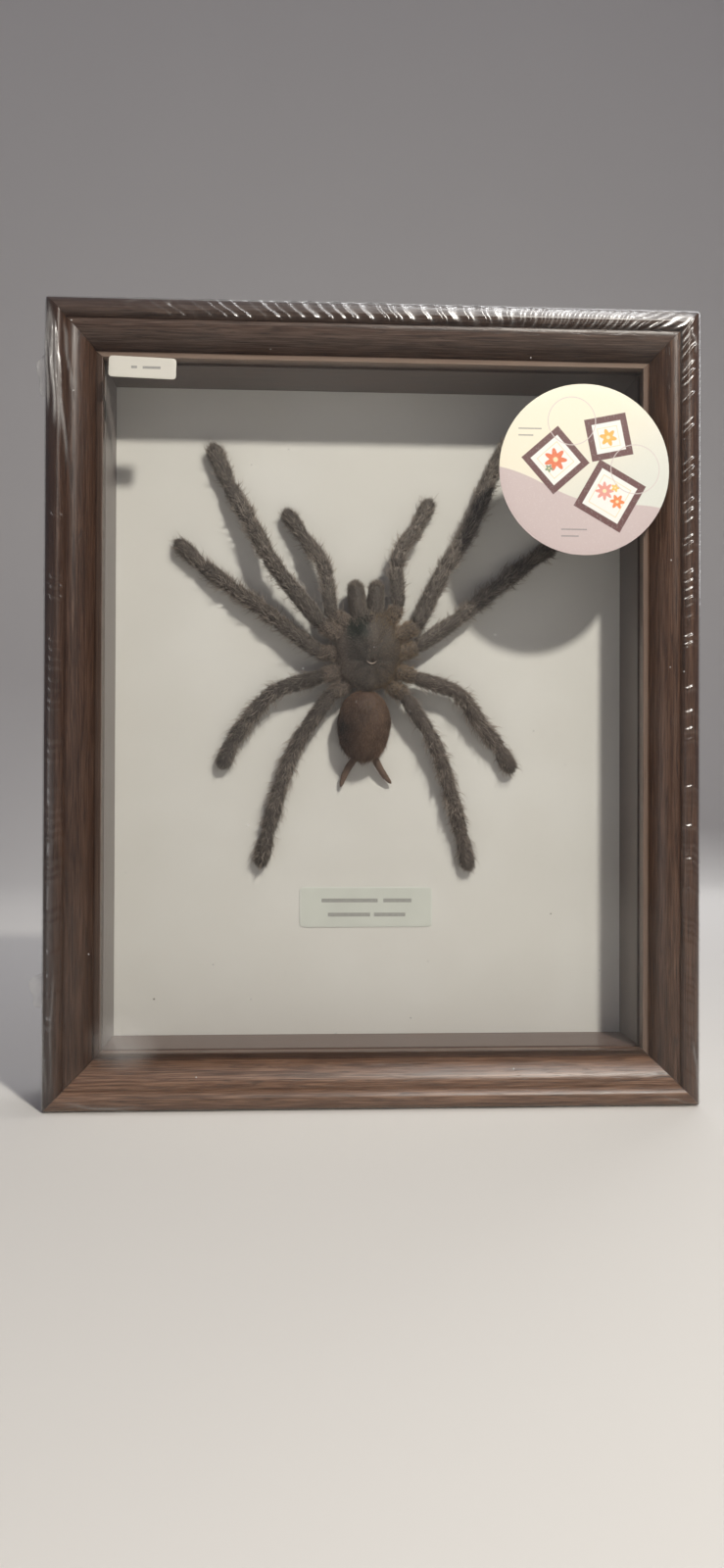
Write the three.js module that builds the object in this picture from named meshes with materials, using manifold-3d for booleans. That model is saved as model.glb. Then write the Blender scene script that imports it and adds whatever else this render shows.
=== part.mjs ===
// A framed tarantula specimen: a deep mitred picture frame, glazed and lined with
// spacers, with the spider laid out on a mount board and the whole thing wrapped in
// clear shrink film. Millimetres. X runs to the right, Y to the back and Z up.
import * as THREE from 'three';
import { mergeVertices } from 'three/addons/utils/BufferGeometryUtils.js';
import Module from 'manifold-3d';

const wasm = await Module();
wasm.setup();

// Frame
const frameWidth = 235;
const frameHeight = 288;
const frameDepth = 46;
const railWidth = 19.1;
const rebateWidth = 3.2; // how far the lip covers the glass
const rebateDepth = 12.5; // from the bead's ridge to the glass
const mouldingEdge = 3; // the outer edge lies this far behind the bead's ridge
const beadWidth = 4.5;
const gap = 0.3; // between neighbouring pieces

// Layers behind the lip
const glassThickness = 2;
const boardDepth = 40; // from the bead's ridge to the board's face
const boardThickness = 1.5;
const panelThickness = 2.2;

// Wrap and labels
const filmThickness = 0.25;
const filmChamfer = 2; // where the film bends round the frame's front edge
const ventRadius = 3;
const stickerThickness = 0.2;

// The spider lies on the board: x to the right, y towards the head, z off the board
const spiderRight = -1.2; // from the frame's middle
const spiderUp = 23.7;
const thoraxLength = 30;
const thoraxWidth = 22.2;
const abdomenLength = 26.5;
const abdomenWidth = 20.8;

const wrapTotal = filmThickness + gap;
const totalDepth = stickerThickness + gap + wrapTotal + frameDepth + wrapTotal;
const frameFront = -totalDepth / 2 + stickerThickness + gap + wrapTotal;
const frameMiddle = wrapTotal + frameHeight / 2;
const innerEdge = railWidth - rebateWidth; // the rebate's wall, from the outer edge
const spacerThickness = rebateWidth - gap;
const fullTurn = Math.PI * 2;

const degrees = (angle) => THREE.MathUtils.degToRad(angle);
const depthToY = (depth) => frameFront + depth;

const part = new THREE.Group();

function finish(color, roughness, metalness = 0) {
  return new THREE.MeshStandardMaterial({ color, roughness, metalness });
}

function clearFinish(color, roughness, opacity) {
  return new THREE.MeshStandardMaterial({ color, roughness, opacity, transparent: true });
}

const walnutFoil = finish(0x5c463b, 0.35);
const clearGlass = clearFinish(0xdfe6e2, 0.05, 0.15);
const whiteCard = finish(0xc9c4b7, 0.9);
const hardboard = finish(0x7a5a3e, 0.8);
const steel = finish(0x9a9a98, 0.35, 1);
const clearFilm = clearFinish(0xf2f2f0, 0.1, 0.12);
const cream = finish(0xe9e4cf, 0.7);
const mint = finish(0xe3eee6, 0.5);
const darkHair = finish(0x453d36, 0.9);
const brownHair = finish(0x55403a, 0.9);

// Solids

function toSolid(geometry) {
  const bare = geometry.clone();
  bare.deleteAttribute('normal');
  bare.deleteAttribute('uv');
  const merged = mergeVertices(bare, 1e-4);
  const corners = merged.index.array;
  const faces = [];
  for (let i = 0; i < corners.length; i += 3) {
    const [a, b, c] = corners.slice(i, i + 3);
    if (a !== b && b !== c && c !== a) {
      faces.push(a, b, c);
    }
  }
  const vertProperties = merged.attributes.position.array;
  const triVerts = new Uint32Array(faces);
  return new wasm.Manifold(new wasm.Mesh({ numProp: 3, vertProperties, triVerts }));
}

function toGeometry(solid) {
  const { vertProperties, triVerts } = solid.getMesh();
  const geometry = new THREE.BufferGeometry();
  geometry.setAttribute('position', new THREE.BufferAttribute(vertProperties, 3));
  geometry.setIndex(new THREE.BufferAttribute(triVerts, 1));
  geometry.computeVertexNormals();
  return geometry;
}

function addPiece(parent, name, geometry, material) {
  const mesh = new THREE.Mesh(geometry, material);
  mesh.name = name;
  parent.add(mesh);
  return mesh;
}

// A slab in the frame's layers: depth is counted from the bead's ridge to its front
function slab(width, height, depth, thickness) {
  const geometry = new THREE.BoxGeometry(width, thickness, height);
  return geometry.translate(0, depthToY(depth) + thickness / 2, frameMiddle);
}

function roundedRectangle(width, height, radius) {
  const x = width / 2 - radius;
  const y = height / 2 - radius;
  const shape = new THREE.Shape();
  shape.absarc(x, y, radius, 0, Math.PI / 2);
  shape.absarc(-x, y, radius, Math.PI / 2, Math.PI);
  shape.absarc(-x, -y, radius, Math.PI, Math.PI * 1.5);
  shape.absarc(x, -y, radius, Math.PI * 1.5, fullTurn);
  shape.closePath();
  return shape;
}

// Frame rails. The moulding's section has its outer edge at x = 0 and its depth along y:
// a bead, a cove, a broad hump and the lip that holds the glass.
function mouldingSection() {
  const coveAcross = 6.9;
  const coveDepth = 3.6;
  const humpAcross = 16.1;
  const humpDepth = 9.5;
  const lipDepth = 8;
  const shape = new THREE.Shape();
  shape.moveTo(0, frameDepth);
  shape.lineTo(0, mouldingEdge);
  shape.quadraticCurveTo(beadWidth * 0.4, 0.4, beadWidth, 0);
  shape.quadraticCurveTo(coveAcross - 0.6, 0.5, coveAcross, coveDepth);
  shape.bezierCurveTo(coveAcross + 2.5, 2, humpAcross - 2, 4.2, humpAcross, humpDepth);
  shape.quadraticCurveTo(humpAcross + 1, lipDepth, railWidth - 0.5, lipDepth);
  shape.lineTo(railWidth, lipDepth + 0.5);
  shape.lineTo(railWidth, rebateDepth);
  shape.lineTo(innerEdge, rebateDepth);
  shape.lineTo(innerEdge, frameDepth);
  shape.closePath();
  return shape;
}

// The sides in turn: each is worked out as the top side, then turned about Y
const sides = [
  { name: 'top', turn: 0, length: frameWidth, reach: frameHeight / 2, tabs: [-52, 52] },
  { name: 'right', turn: 90, length: frameHeight, reach: frameWidth / 2, tabs: [-72, 72] },
  { name: 'bottom', turn: 180, length: frameWidth, reach: frameHeight / 2, tabs: [-52, 52] },
  { name: 'left', turn: 270, length: frameHeight, reach: frameWidth / 2, tabs: [-72, 72] },
];

// The mitred outline of one side, cut back by half a gap at each end
function mitrePrism(side) {
  const cut = railWidth + 2;
  const outer = side.length / 2 - (gap / 2) * Math.SQRT2;
  const shape = new THREE.Shape();
  shape.moveTo(-outer, 0);
  shape.lineTo(-outer + cut, -cut);
  shape.lineTo(outer - cut, -cut);
  shape.lineTo(outer, 0);
  shape.closePath();
  const geometry = new THREE.ExtrudeGeometry(shape, { depth: frameDepth + 2, bevelEnabled: false });
  geometry.rotateX(Math.PI / 2);
  return geometry.translate(0, frameFront + frameDepth + 1, side.reach);
}

const tabWidth = 8;
const tabLength = 14;
const tabThickness = 0.5;
const tabInRail = 4;
const tabDepth = boardDepth + boardThickness + panelThickness + 2 * gap;

function tabBox(side, place, grow) {
  const width = tabWidth + 2 * grow;
  const thickness = tabThickness + 2 * grow;
  const geometry = new THREE.BoxGeometry(width, thickness, tabLength + 2 * grow);
  const y = depthToY(tabDepth) + tabThickness / 2;
  return geometry.translate(place, y, side.reach - innerEdge + tabInRail - tabLength / 2);
}

function railGeometry(side) {
  const section = mouldingSection();
  const options = { depth: side.length, bevelEnabled: false, curveSegments: 6 };
  const bar = new THREE.ExtrudeGeometry(section, options);
  const across = new THREE.Vector3(0, 0, -1);
  const back = new THREE.Vector3(0, 1, 0);
  const along = new THREE.Vector3(1, 0, 0);
  bar.applyMatrix4(new THREE.Matrix4().makeBasis(across, back, along));
  bar.translate(-side.length / 2, frameFront, side.reach);
  let rail = toSolid(bar).intersect(toSolid(mitrePrism(side)));
  for (const place of side.tabs) {
    rail = rail.subtract(toSolid(tabBox(side, place, gap)));
  }
  return toGeometry(rail);
}

const frame = new THREE.Group();
frame.position.z = frameMiddle;
part.add(frame);
for (const side of sides) {
  const rail = addPiece(frame, `rail_${side.name}`, railGeometry(side), walnutFoil);
  rail.rotation.y = degrees(side.turn);
}

// Glass, spacers, board and back panel, in the rebate from front to back
const rebateSpanX = frameWidth - 2 * innerEdge - 2 * gap;
const rebateSpanZ = frameHeight - 2 * innerEdge - 2 * gap;
const spacerFront = rebateDepth + gap + glassThickness + gap;
const spacerRun = boardDepth - gap - spacerFront;

addPiece(part, 'glass_pane', slab(rebateSpanX, rebateSpanZ, rebateDepth + gap, glassThickness), clearGlass);

for (const side of sides) {
  const upright = side.turn % 180 !== 0;
  const length = upright ? rebateSpanZ - 2 * (spacerThickness + gap) : rebateSpanX;
  const geometry = new THREE.BoxGeometry(length, spacerRun, spacerThickness);
  const y = depthToY(spacerFront) + spacerRun / 2;
  geometry.translate(0, y, side.reach - innerEdge - gap - spacerThickness / 2);
  const spacer = addPiece(frame, `spacer_${side.name}`, geometry, walnutFoil);
  spacer.rotation.y = degrees(side.turn);
}

addPiece(part, 'mount_board', slab(rebateSpanX, rebateSpanZ, boardDepth, boardThickness), whiteCard);

const panelDepth = boardDepth + boardThickness + gap;
addPiece(part, 'back_panel', slab(rebateSpanX, rebateSpanZ, panelDepth, panelThickness), hardboard);

// Bendable tabs, driven into the rebate's wall, hold the back panel in
for (const side of sides) {
  side.tabs.forEach((place, index) => {
    const tab = addPiece(frame, `tab_${side.name}_${index + 1}`, tabBox(side, place, 0), steel);
    tab.rotation.y = degrees(side.turn);
  });
}

// Sawtooth hanger on the back panel, in the recess behind it
function hangerGeometry() {
  const halfLength = 22;
  const height = 9;
  const teeth = 11;
  const toothHeight = 1.6;
  const toothWidth = 2.4;
  const slotHalf = (teeth * toothWidth) / 2;
  const shape = new THREE.Shape();
  shape.moveTo(-halfLength, 0);
  shape.lineTo(-slotHalf - 3, 0);
  shape.lineTo(-slotHalf, 2.5);
  for (let i = 0; i < teeth; i += 1) {
    const left = -slotHalf + i * toothWidth;
    shape.lineTo(left + toothWidth / 2, 2.5 + toothHeight);
    shape.lineTo(left + toothWidth, 2.5);
  }
  shape.lineTo(slotHalf + 3, 0);
  shape.lineTo(halfLength, 0);
  shape.lineTo(halfLength, height);
  shape.lineTo(-halfLength, height);
  shape.closePath();
  const plate = new THREE.ExtrudeGeometry(shape, { depth: 0.8, bevelEnabled: false });
  plate.rotateX(Math.PI / 2);
  let hanger = toSolid(plate);
  for (const side of [-1, 1]) {
    const head = new THREE.CylinderGeometry(1.8, 2.2, 0.9, 12);
    head.translate(side * (halfLength - 4), 0.3, height / 2);
    hanger = hanger.add(toSolid(head));
  }
  return toGeometry(hanger);
}
const hanger = addPiece(part, 'hanger', hangerGeometry(), steel);
hanger.position.set(0, depthToY(panelDepth + panelThickness + gap + 0.8), frameMiddle + 98);

// Shrink film: the frame's own outline grown a little, as a thin shell. Its front spans
// the opening from bead to bead, and it has a small vent hole at the back.
function wrapPrism(halfSpan, length, grow) {
  const back = depthToY(frameDepth) + grow;
  const edge = depthToY(filmChamfer) - grow * 0.5;
  const front = frameFront - grow;
  const side = halfSpan + grow;
  const shape = new THREE.Shape();
  shape.moveTo(-side, back);
  shape.lineTo(-side, edge);
  shape.lineTo(-side + filmChamfer + grow * 0.5, front);
  shape.lineTo(side - filmChamfer - grow * 0.5, front);
  shape.lineTo(side, edge);
  shape.lineTo(side, back);
  shape.closePath();
  const geometry = new THREE.ExtrudeGeometry(shape, { depth: length + 2 * grow, bevelEnabled: false });
  return geometry.translate(0, 0, -length / 2 - grow);
}

function wrapSolid(grow) {
  const upright = wrapPrism(frameWidth / 2, frameHeight, grow);
  const level = wrapPrism(frameHeight / 2, frameWidth, grow);
  level.rotateY(Math.PI / 2);
  return toSolid(upright).intersect(toSolid(level));
}

const vent = new THREE.CylinderGeometry(ventRadius, ventRadius, 4, 12);
vent.translate(80, depthToY(frameDepth), -110);
const shell = wrapSolid(wrapTotal).subtract(wrapSolid(gap)).subtract(toSolid(vent));
addPiece(frame, 'shrink_film', toGeometry(shell), clearFilm);

// Stickers on the film and the label on the board. Places are from the frame's middle.
function stickerPiece(name, shape, curveSegments, place, backY, material) {
  const options = { depth: stickerThickness, bevelEnabled: false, curveSegments };
  const sticker = addPiece(part, name, new THREE.ExtrudeGeometry(shape, options), material);
  sticker.rotation.set(Math.PI / 2, degrees(place.turn), 0, 'YXZ');
  sticker.position.set(place.x, backY, frameMiddle + place.z);
}

const stickerY = frameFront - wrapTotal - gap;
const priceShape = roundedRectangle(23.6, 7.4, 1.2);
const pricePlace = { x: -83.1, z: 118.1, turn: 1.7 };
stickerPiece('price_sticker', priceShape, 2, pricePlace, stickerY, cream);

const roundShape = new THREE.Shape();
roundShape.absarc(0, 0, 30.8, 0, fullTurn);
const roundPlace = { x: 74.4, z: 84.8, turn: 0 };
stickerPiece('round_sticker', roundShape, 20, roundPlace, stickerY, mint);

const labelShape = roundedRectangle(51.6, 15.6, 1.5);
const labelPlace = { x: -1.4, z: -75.7, turn: 0 };
stickerPiece('specimen_label', labelShape, 2, labelPlace, depthToY(boardDepth) - gap, cream);

// Spider. Its group is turned so that the board's face is its ground.
const spider = new THREE.Group();
spider.position.set(spiderRight, depthToY(boardDepth), frameMiddle + spiderUp);
spider.rotation.x = Math.PI / 2;
part.add(spider);

function ellipsoid(width, length, height, x, y, z, columns = 16, rows = 10) {
  const geometry = new THREE.SphereGeometry(0.5, columns, rows);
  geometry.scale(width, height, length);
  geometry.rotateX(Math.PI / 2);
  return geometry.translate(x, y, z);
}

// Head and thorax: a low domed shield over a shallower underside, with a raised head
// region and the small eye mound at its front
function thoraxSolid(grow) {
  const shield = ellipsoid(thoraxWidth + grow, thoraxLength + grow, 9 + grow, 0, -0.3, 9.4);
  const head = ellipsoid(12.5 + grow, 15 + grow, 8.6 + grow, 0, 7.2, 10.3, 12, 8);
  const under = ellipsoid(13 + grow, 21 + grow, 7 + grow, 0, -0.3, 6.8, 12, 8);
  return toSolid(shield).add(toSolid(head)).add(toSolid(under));
}
const eyeMound = ellipsoid(3.4, 3, 3, 0, 11.2, 13.9, 8, 6);
const thorax = thoraxSolid(0).add(toSolid(eyeMound));
addPiece(spider, 'cephalothorax', toGeometry(thorax), darkHair);

// Every neighbour is cut back by the grown thorax, so that a gap stays between them
const thoraxRoom = thoraxSolid(2 * gap);

// A spindle from one point to another: a lathe profile of radii at shares of its length
function spindle(start, end, radius, profile, sidesAround = 8) {
  const along = new THREE.Vector3().subVectors(end, start);
  const length = along.length();
  const points = profile.map(([share, size]) => new THREE.Vector2(radius * size, length * share));
  const geometry = new THREE.LatheGeometry(points, sidesAround);
  const up = new THREE.Vector3(0, 1, 0);
  const turn = new THREE.Quaternion().setFromUnitVectors(up, along.normalize());
  geometry.applyQuaternion(turn);
  return geometry.translate(start.x, start.y, start.z);
}

const segmentProfile = [[-0.06, 0], [0.02, 0.74], [0.3, 1], [0.75, 0.98], [0.98, 0.76], [1.06, 0]];
const padProfile = [[-0.06, 0], [0.03, 0.76], [0.4, 0.96], [0.8, 1], [0.98, 0.68], [1.06, 0]];

// Abdomen: an egg with a blunt front, dried and flattened
const abdomenHeight = 7.4;
const abdomenFlattening = 0.67;
const abdomenProfile = [
  [-0.05, 0], [-0.04, 0.34], [0, 0.52], [0.05, 0.7], [0.13, 0.86], [0.26, 0.96], [0.42, 1],
  [0.64, 0.96], [0.82, 0.8], [0.95, 0.5], [1, 0],
];
const abdomenFront = new THREE.Vector3(-1.2, -29.6 + abdomenLength / 2, abdomenHeight + 0.5);
const abdomenBack = new THREE.Vector3(-1.9, -29.6 - abdomenLength / 2, abdomenHeight - 0.7);
const egg = spindle(abdomenFront, abdomenBack, abdomenWidth / 2, abdomenProfile, 16);
egg.translate(0, 0, -abdomenHeight);
egg.scale(1, 1, abdomenFlattening);
egg.translate(0, 0, abdomenHeight);
const abdomen = toSolid(egg).subtract(thoraxRoom);
addPiece(spider, 'abdomen', toGeometry(abdomen), brownHair);

// Jaws with their folded fangs, and spinnerets, in pairs that aren't quite alike
const jawProfile = [[-0.02, 0], [0, 0.6], [0.1, 0.88], [0.4, 1], [0.8, 0.97], [0.95, 0.74], [1, 0]];
const jawHeight = 8.2;
const jawDeepening = 1.35; // a jaw is deeper than it is wide
const pairs = [
  { side: 'left', jawWidth: 6.9, jaw: [-3.9, 12.5, -5.1, 25.4], spinneret: [-5.2, -43, -10.4, -52.9] },
  { side: 'right', jawWidth: 6.3, jaw: [2.6, 12.5, 3.2, 25.6], spinneret: [3, -43, 9.3, -51.5] },
];
for (const pair of pairs) {
  const [baseX, baseY, frontX, frontY] = pair.jaw;
  const jawBase = new THREE.Vector3(baseX, baseY, jawHeight);
  const jawFront = new THREE.Vector3(frontX, frontY, jawHeight);
  const jaw = spindle(jawBase, jawFront, pair.jawWidth / 2, jawProfile, 12);
  jaw.translate(0, 0, -jawHeight);
  jaw.scale(1, 1, jawDeepening);
  jaw.translate(0, 0, jawHeight);
  const fangStart = new THREE.Vector3(frontX, frontY - 3, 5.6);
  const fangEnd = new THREE.Vector3(frontX * 0.8, frontY - 9, 3);
  const fang = spindle(fangStart, fangEnd, 1.1, [[0, 0], [0, 1], [0.6, 0.6], [1, 0]], 6);
  const jawSolid = toSolid(jaw).add(toSolid(fang)).subtract(thoraxRoom);
  addPiece(spider, `chelicera_${pair.side}`, toGeometry(jawSolid), darkHair);

  const [fromX, fromY, toX, toY] = pair.spinneret;
  const root = new THREE.Vector3(fromX, fromY, 4.4);
  const tip = new THREE.Vector3(toX, toY, 2.1);
  const spinneretProfile = [[0, 0], [0, 1], [0.5, 0.95], [0.9, 0.6], [1, 0]];
  const spinneret = spindle(root, tip, 1.4, spinneretProfile, 8);
  addPiece(spider, `spinneret_${pair.side}`, spinneret, brownHair);
}

// Limbs. Lengths are those of the segments from the hip outwards, the same on both
// sides. A limb then has its hip, the bearing of each segment in degrees (0 to the
// right, 90 to the head) and the height of each joint above the board.
const segmentLengths = {
  palp: [7, 14.6, 6.5, 12.2, 13.3],
  leg_1: [9.1, 24.3, 8.1, 16.2, 17.1, 16.8],
  leg_2: [8.1, 20.4, 7.5, 13.9, 14.6, 12.7],
  leg_3: [7.6, 17.2, 7, 10.8, 9.3, 10.4],
  leg_4: [6, 17.1, 9.5, 13.5, 18.5, 13.4],
};
const girths = { palp: 4.8, leg_1: 5.4, leg_2: 5.1, leg_3: 5.1, leg_4: 4.9 };
const segmentGirths = [1, 1.06, 1.02, 0.98, 0.94];
const footGirth = 0.96;

const limbs = [
  { kind: 'palp', side: 'left', hip: [-7.7, 9.9, 9.6], bearings: [160, 97, 105, 126, 123],
    heights: [10, 10.8, 10, 5.6, 3] },
  { kind: 'palp', side: 'right', hip: [7.9, 9.9, 9.6], bearings: [62, 93, 79, 55, 63],
    heights: [10.2, 11.2, 11, 6.8, 3.2] },
  { kind: 'leg_1', side: 'left', hip: [-9.9, 4.5, 9.6], bearings: [152, 130, 125, 117, 119, 113],
    heights: [10.6, 12.2, 12.2, 7.6, 4.4, 3] },
  { kind: 'leg_1', side: 'right', hip: [10.2, 4.5, 9.6], bearings: [28, 64, 55, 62, 69, 61],
    heights: [9.4, 10, 9.2, 6.6, 4.4, 3] },
  { kind: 'leg_2', side: 'left', hip: [-10.7, -1.9, 8.8], bearings: [177, 143, 143, 145, 142, 138],
    heights: [7.8, 6.2, 5.6, 4.3, 3.4, 3] },
  { kind: 'leg_2', side: 'right', hip: [10.9, -2, 8.8], bearings: [20, 35, 40, 39, 38, 36],
    heights: [7.4, 5.8, 5.2, 4.2, 3.4, 3] },
  { kind: 'leg_3', side: 'left', hip: [-10.5, -8.4, 8.8], bearings: [197, 196, 217, 230, 235, 247],
    heights: [8, 7, 6, 4.5, 3.5, 3] },
  { kind: 'leg_3', side: 'right', hip: [10.7, -8.4, 8.8], bearings: [342, 342, 312, 304, 311, 300],
    heights: [8, 7, 6.2, 4.8, 3.7, 3] },
  { kind: 'leg_4', side: 'left', hip: [-8.9, -14.1, 8.4], bearings: [209, 235, 239, 250, 255, 257],
    heights: [7.8, 6.8, 5.8, 4.6, 3.6, 3] },
  { kind: 'leg_4', side: 'right', hip: [9.1, -14.1, 8.4], bearings: [323, 304, 296, 288, 285, 283],
    heights: [7.8, 7, 6.2, 5, 3.8, 3] },
];

// The joints of a limb, one after another: each height fixes how much of the segment's
// length is left for its run along the board
function limbJoints(limb) {
  const joints = [new THREE.Vector3(...limb.hip)];
  segmentLengths[limb.kind].forEach((length, index) => {
    const last = joints[index];
    const rise = limb.heights[index] - last.z;
    const run = Math.sqrt(length * length - rise * rise);
    const angle = degrees(limb.bearings[index]);
    const step = new THREE.Vector3(run * Math.cos(angle), run * Math.sin(angle), rise);
    joints.push(last.clone().add(step));
  });
  return joints;
}

function limbSolid(limb) {
  const joints = limbJoints(limb);
  const girth = girths[limb.kind] / 2;
  let solid = null;
  for (let i = 0; i + 1 < joints.length; i += 1) {
    const isFoot = i + 2 === joints.length;
    const profile = isFoot ? padProfile : segmentProfile;
    const size = girth * (isFoot ? footGirth : segmentGirths[i]);
    const segment = toSolid(spindle(joints[i], joints[i + 1], size, profile));
    solid = solid ? solid.add(segment) : segment;
  }
  return solid.subtract(thoraxRoom);
}

for (const limb of limbs) {
  const name = limb.kind === 'palp' ? `pedipalp_${limb.side}` : `leg_${limb.side}_${limb.kind.at(-1)}`;
  addPiece(spider, name, toGeometry(limbSolid(limb)), darkHair);
}

export default part;
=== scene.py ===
import math

import bpy
import numpy as np
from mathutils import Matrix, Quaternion, Vector


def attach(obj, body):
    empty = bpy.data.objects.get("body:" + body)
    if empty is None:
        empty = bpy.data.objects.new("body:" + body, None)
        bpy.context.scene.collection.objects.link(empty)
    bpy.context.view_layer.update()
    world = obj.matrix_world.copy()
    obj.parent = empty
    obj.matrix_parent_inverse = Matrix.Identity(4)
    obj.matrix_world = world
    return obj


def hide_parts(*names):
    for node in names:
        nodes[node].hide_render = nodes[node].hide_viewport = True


# A tarantula laid out on a card in a deep walnut frame, wrapped in clear shrink film.
# Sizes are millimetres until a mesh is made. X runs right, Y back and Z up.
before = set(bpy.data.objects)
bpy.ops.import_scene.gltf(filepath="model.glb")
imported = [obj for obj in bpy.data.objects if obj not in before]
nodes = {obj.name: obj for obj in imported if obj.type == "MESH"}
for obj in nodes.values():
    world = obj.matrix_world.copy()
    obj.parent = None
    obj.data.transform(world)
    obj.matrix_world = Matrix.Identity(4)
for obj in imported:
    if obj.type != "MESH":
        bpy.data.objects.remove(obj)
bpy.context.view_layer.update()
scene = bpy.context.scene
scene.view_settings.view_transform = "Standard"
chance = np.random.default_rng(41)
turn = 2 * math.pi

caseFit = {
    "width": 235.0,
    "height": 288.0,
    "depth": 46.0,
    "front": -22.75,  # the bead's ridge
    "middle": 144.55,  # the case's middle above the floor
    "boardFace": 17.25,
    "railWidth": 19.1,
    "innerEdge": 15.9,
    "mitreGap": 0.1,
}
# each side's turn from the top, in degrees, and whether it lies level
sides = {"top": (0, True), "right": (90, False), "bottom": (180, True), "left": (270, False)}


def unit(vectors):
    return vectors / np.maximum(np.linalg.norm(vectors, axis=-1, keepdims=True), 1e-9)


def smooth(values, low, high):
    # 0 below low, 1 above high, and an S between them
    t = np.clip((values - low) / (high - low), 0, 1)
    return t * t * (3 - 2 * t)


def bump(values, centre, width):
    # a bell of height 1 round the centre
    return np.exp(-(((values - centre) / width) ** 2))


def bezier(points, steps):
    # each control point weighted by its Bernstein polynomial
    t = np.linspace(0, 1, steps)[:, None]
    n = len(points) - 1
    return sum(math.comb(n, k) * (1 - t) ** (n - k) * t**k * np.array(p, float) for k, p in enumerate(points))


def gridQuads(rows, columns):
    # the cells between neighbouring rows, with the last column joined to the first
    row = np.arange(rows - 1)[:, None] * columns
    column = np.arange(columns)[None, :]
    a = row + column
    b = row + (column + 1) % columns
    return np.stack([a, b, b + columns, a + columns], -1).reshape(-1, 4)


def volume(points, faces):
    a, b, c = (points[faces[:, k]] for k in (0, 1, 2))
    total = (a * np.cross(b, c)).sum()
    if faces.shape[1] == 4:
        total += (a * np.cross(c, points[faces[:, 3]])).sum()
    return total


class Form:
    # collects closed surfaces and their masks until one mesh is made of them
    def __init__(self, *maskNames):
        self.points, self.quads, self.triangles, self.rims = [], [], [], []
        self.masks = {name: [] for name in maskNames}
        self.count = 0

    def add(self, points, quads=None, triangles=None, rims=(), masks=None):
        # faces that enclose a negative volume are turned about
        quads = np.zeros((0, 4), int) if quads is None else quads
        triangles = np.zeros((0, 3), int) if triangles is None else triangles
        if volume(points, quads) + volume(points, triangles) < 0:
            quads, triangles, rims = quads[:, ::-1], triangles[:, ::-1], [rim[::-1] for rim in rims]
        self.points.append(points)
        self.quads.append(quads + self.count)
        self.triangles.append(triangles + self.count)
        self.rims += [rim + self.count for rim in rims]
        for name, values in self.masks.items():
            values.append(np.broadcast_to((masks or {}).get(name, 0.0), len(points)))
        self.count += len(points)

    def addTube(self, rings, poles=None, masks=None):
        # rings of points, closed at both ends by a fan to a pole
        rows, columns = rings.shape[:2]
        poles = (rings[0].mean(0), rings[-1].mean(0)) if poles is None else poles
        here = np.arange(columns)
        after = (here + 1) % columns
        last = (rows - 1) * columns
        first = np.stack([after, here, np.full(columns, rows * columns)], 1)
        final = np.stack([here + last, after + last, np.full(columns, rows * columns + 1)], 1)
        flat = {}
        for name, values in (masks or {}).items():
            values = np.broadcast_to(values, (rows, columns))
            flat[name] = np.concatenate([values.ravel(), [values[0].mean(), values[-1].mean()]])
        points = np.concatenate([rings.reshape(-1, 3), poles])
        self.add(points, gridQuads(rows, columns), np.concatenate([first, final]), masks=flat)

    def make(self, name, finish, replaced, sharpAbove=None):
        points = np.concatenate(self.points) * 0.001
        quads, triangles = np.concatenate(self.quads), np.concatenate(self.triangles)
        corners = np.concatenate([quads.ravel(), triangles.ravel(), *self.rims])
        sizes = [4] * len(quads) + [3] * len(triangles) + [len(rim) for rim in self.rims]
        starts = np.concatenate([[0], np.cumsum(sizes)[:-1]])
        mesh = bpy.data.meshes.new(name)
        mesh.vertices.add(len(points))
        mesh.vertices.foreach_set("co", points.ravel())
        mesh.loops.add(len(corners))
        mesh.loops.foreach_set("vertex_index", corners)
        mesh.polygons.add(len(starts))
        mesh.polygons.foreach_set("loop_start", starts)
        mesh.update(calc_edges=True)
        mesh.polygons.foreach_set("use_smooth", np.ones(len(starts), bool))
        for mask, values in self.masks.items():
            made = mesh.attributes.new(mask, "FLOAT", "POINT")
            made.data.foreach_set("value", np.concatenate(values).astype(np.float32))
        if sharpAbove:
            mesh.set_sharp_from_angle(angle=math.radians(sharpAbove))
        mesh.materials.append(finish)
        piece = bpy.data.objects.new(name, mesh)
        scene.collection.objects.link(piece)
        if replaced:
            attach(piece, "root")
            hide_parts(replaced)
        return piece


def roundedLoop(halfX, halfZ, radius, counts):
    # a rectangle walked clockwise from its top left corner; its corner squares draw in to arcs
    corners = np.array([(-1, 1), (1, 1), (1, -1), (-1, -1), (-1, 1)], float) * (halfX, halfZ)
    sides = []
    for k, count in enumerate(counts):
        share = np.arange(count)[:, None] / count
        sides.append(corners[k] + (corners[k + 1] - corners[k]) * share)
    loop = np.concatenate(sides)
    inner = np.clip(loop, (radius - halfX, radius - halfZ), (halfX - radius, halfZ - radius))
    offset = loop - inner
    inCorner = (np.abs(offset) > 1e-9).all(1, keepdims=True)
    return np.where(inCorner, inner + radius * unit(offset), loop)


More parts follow.
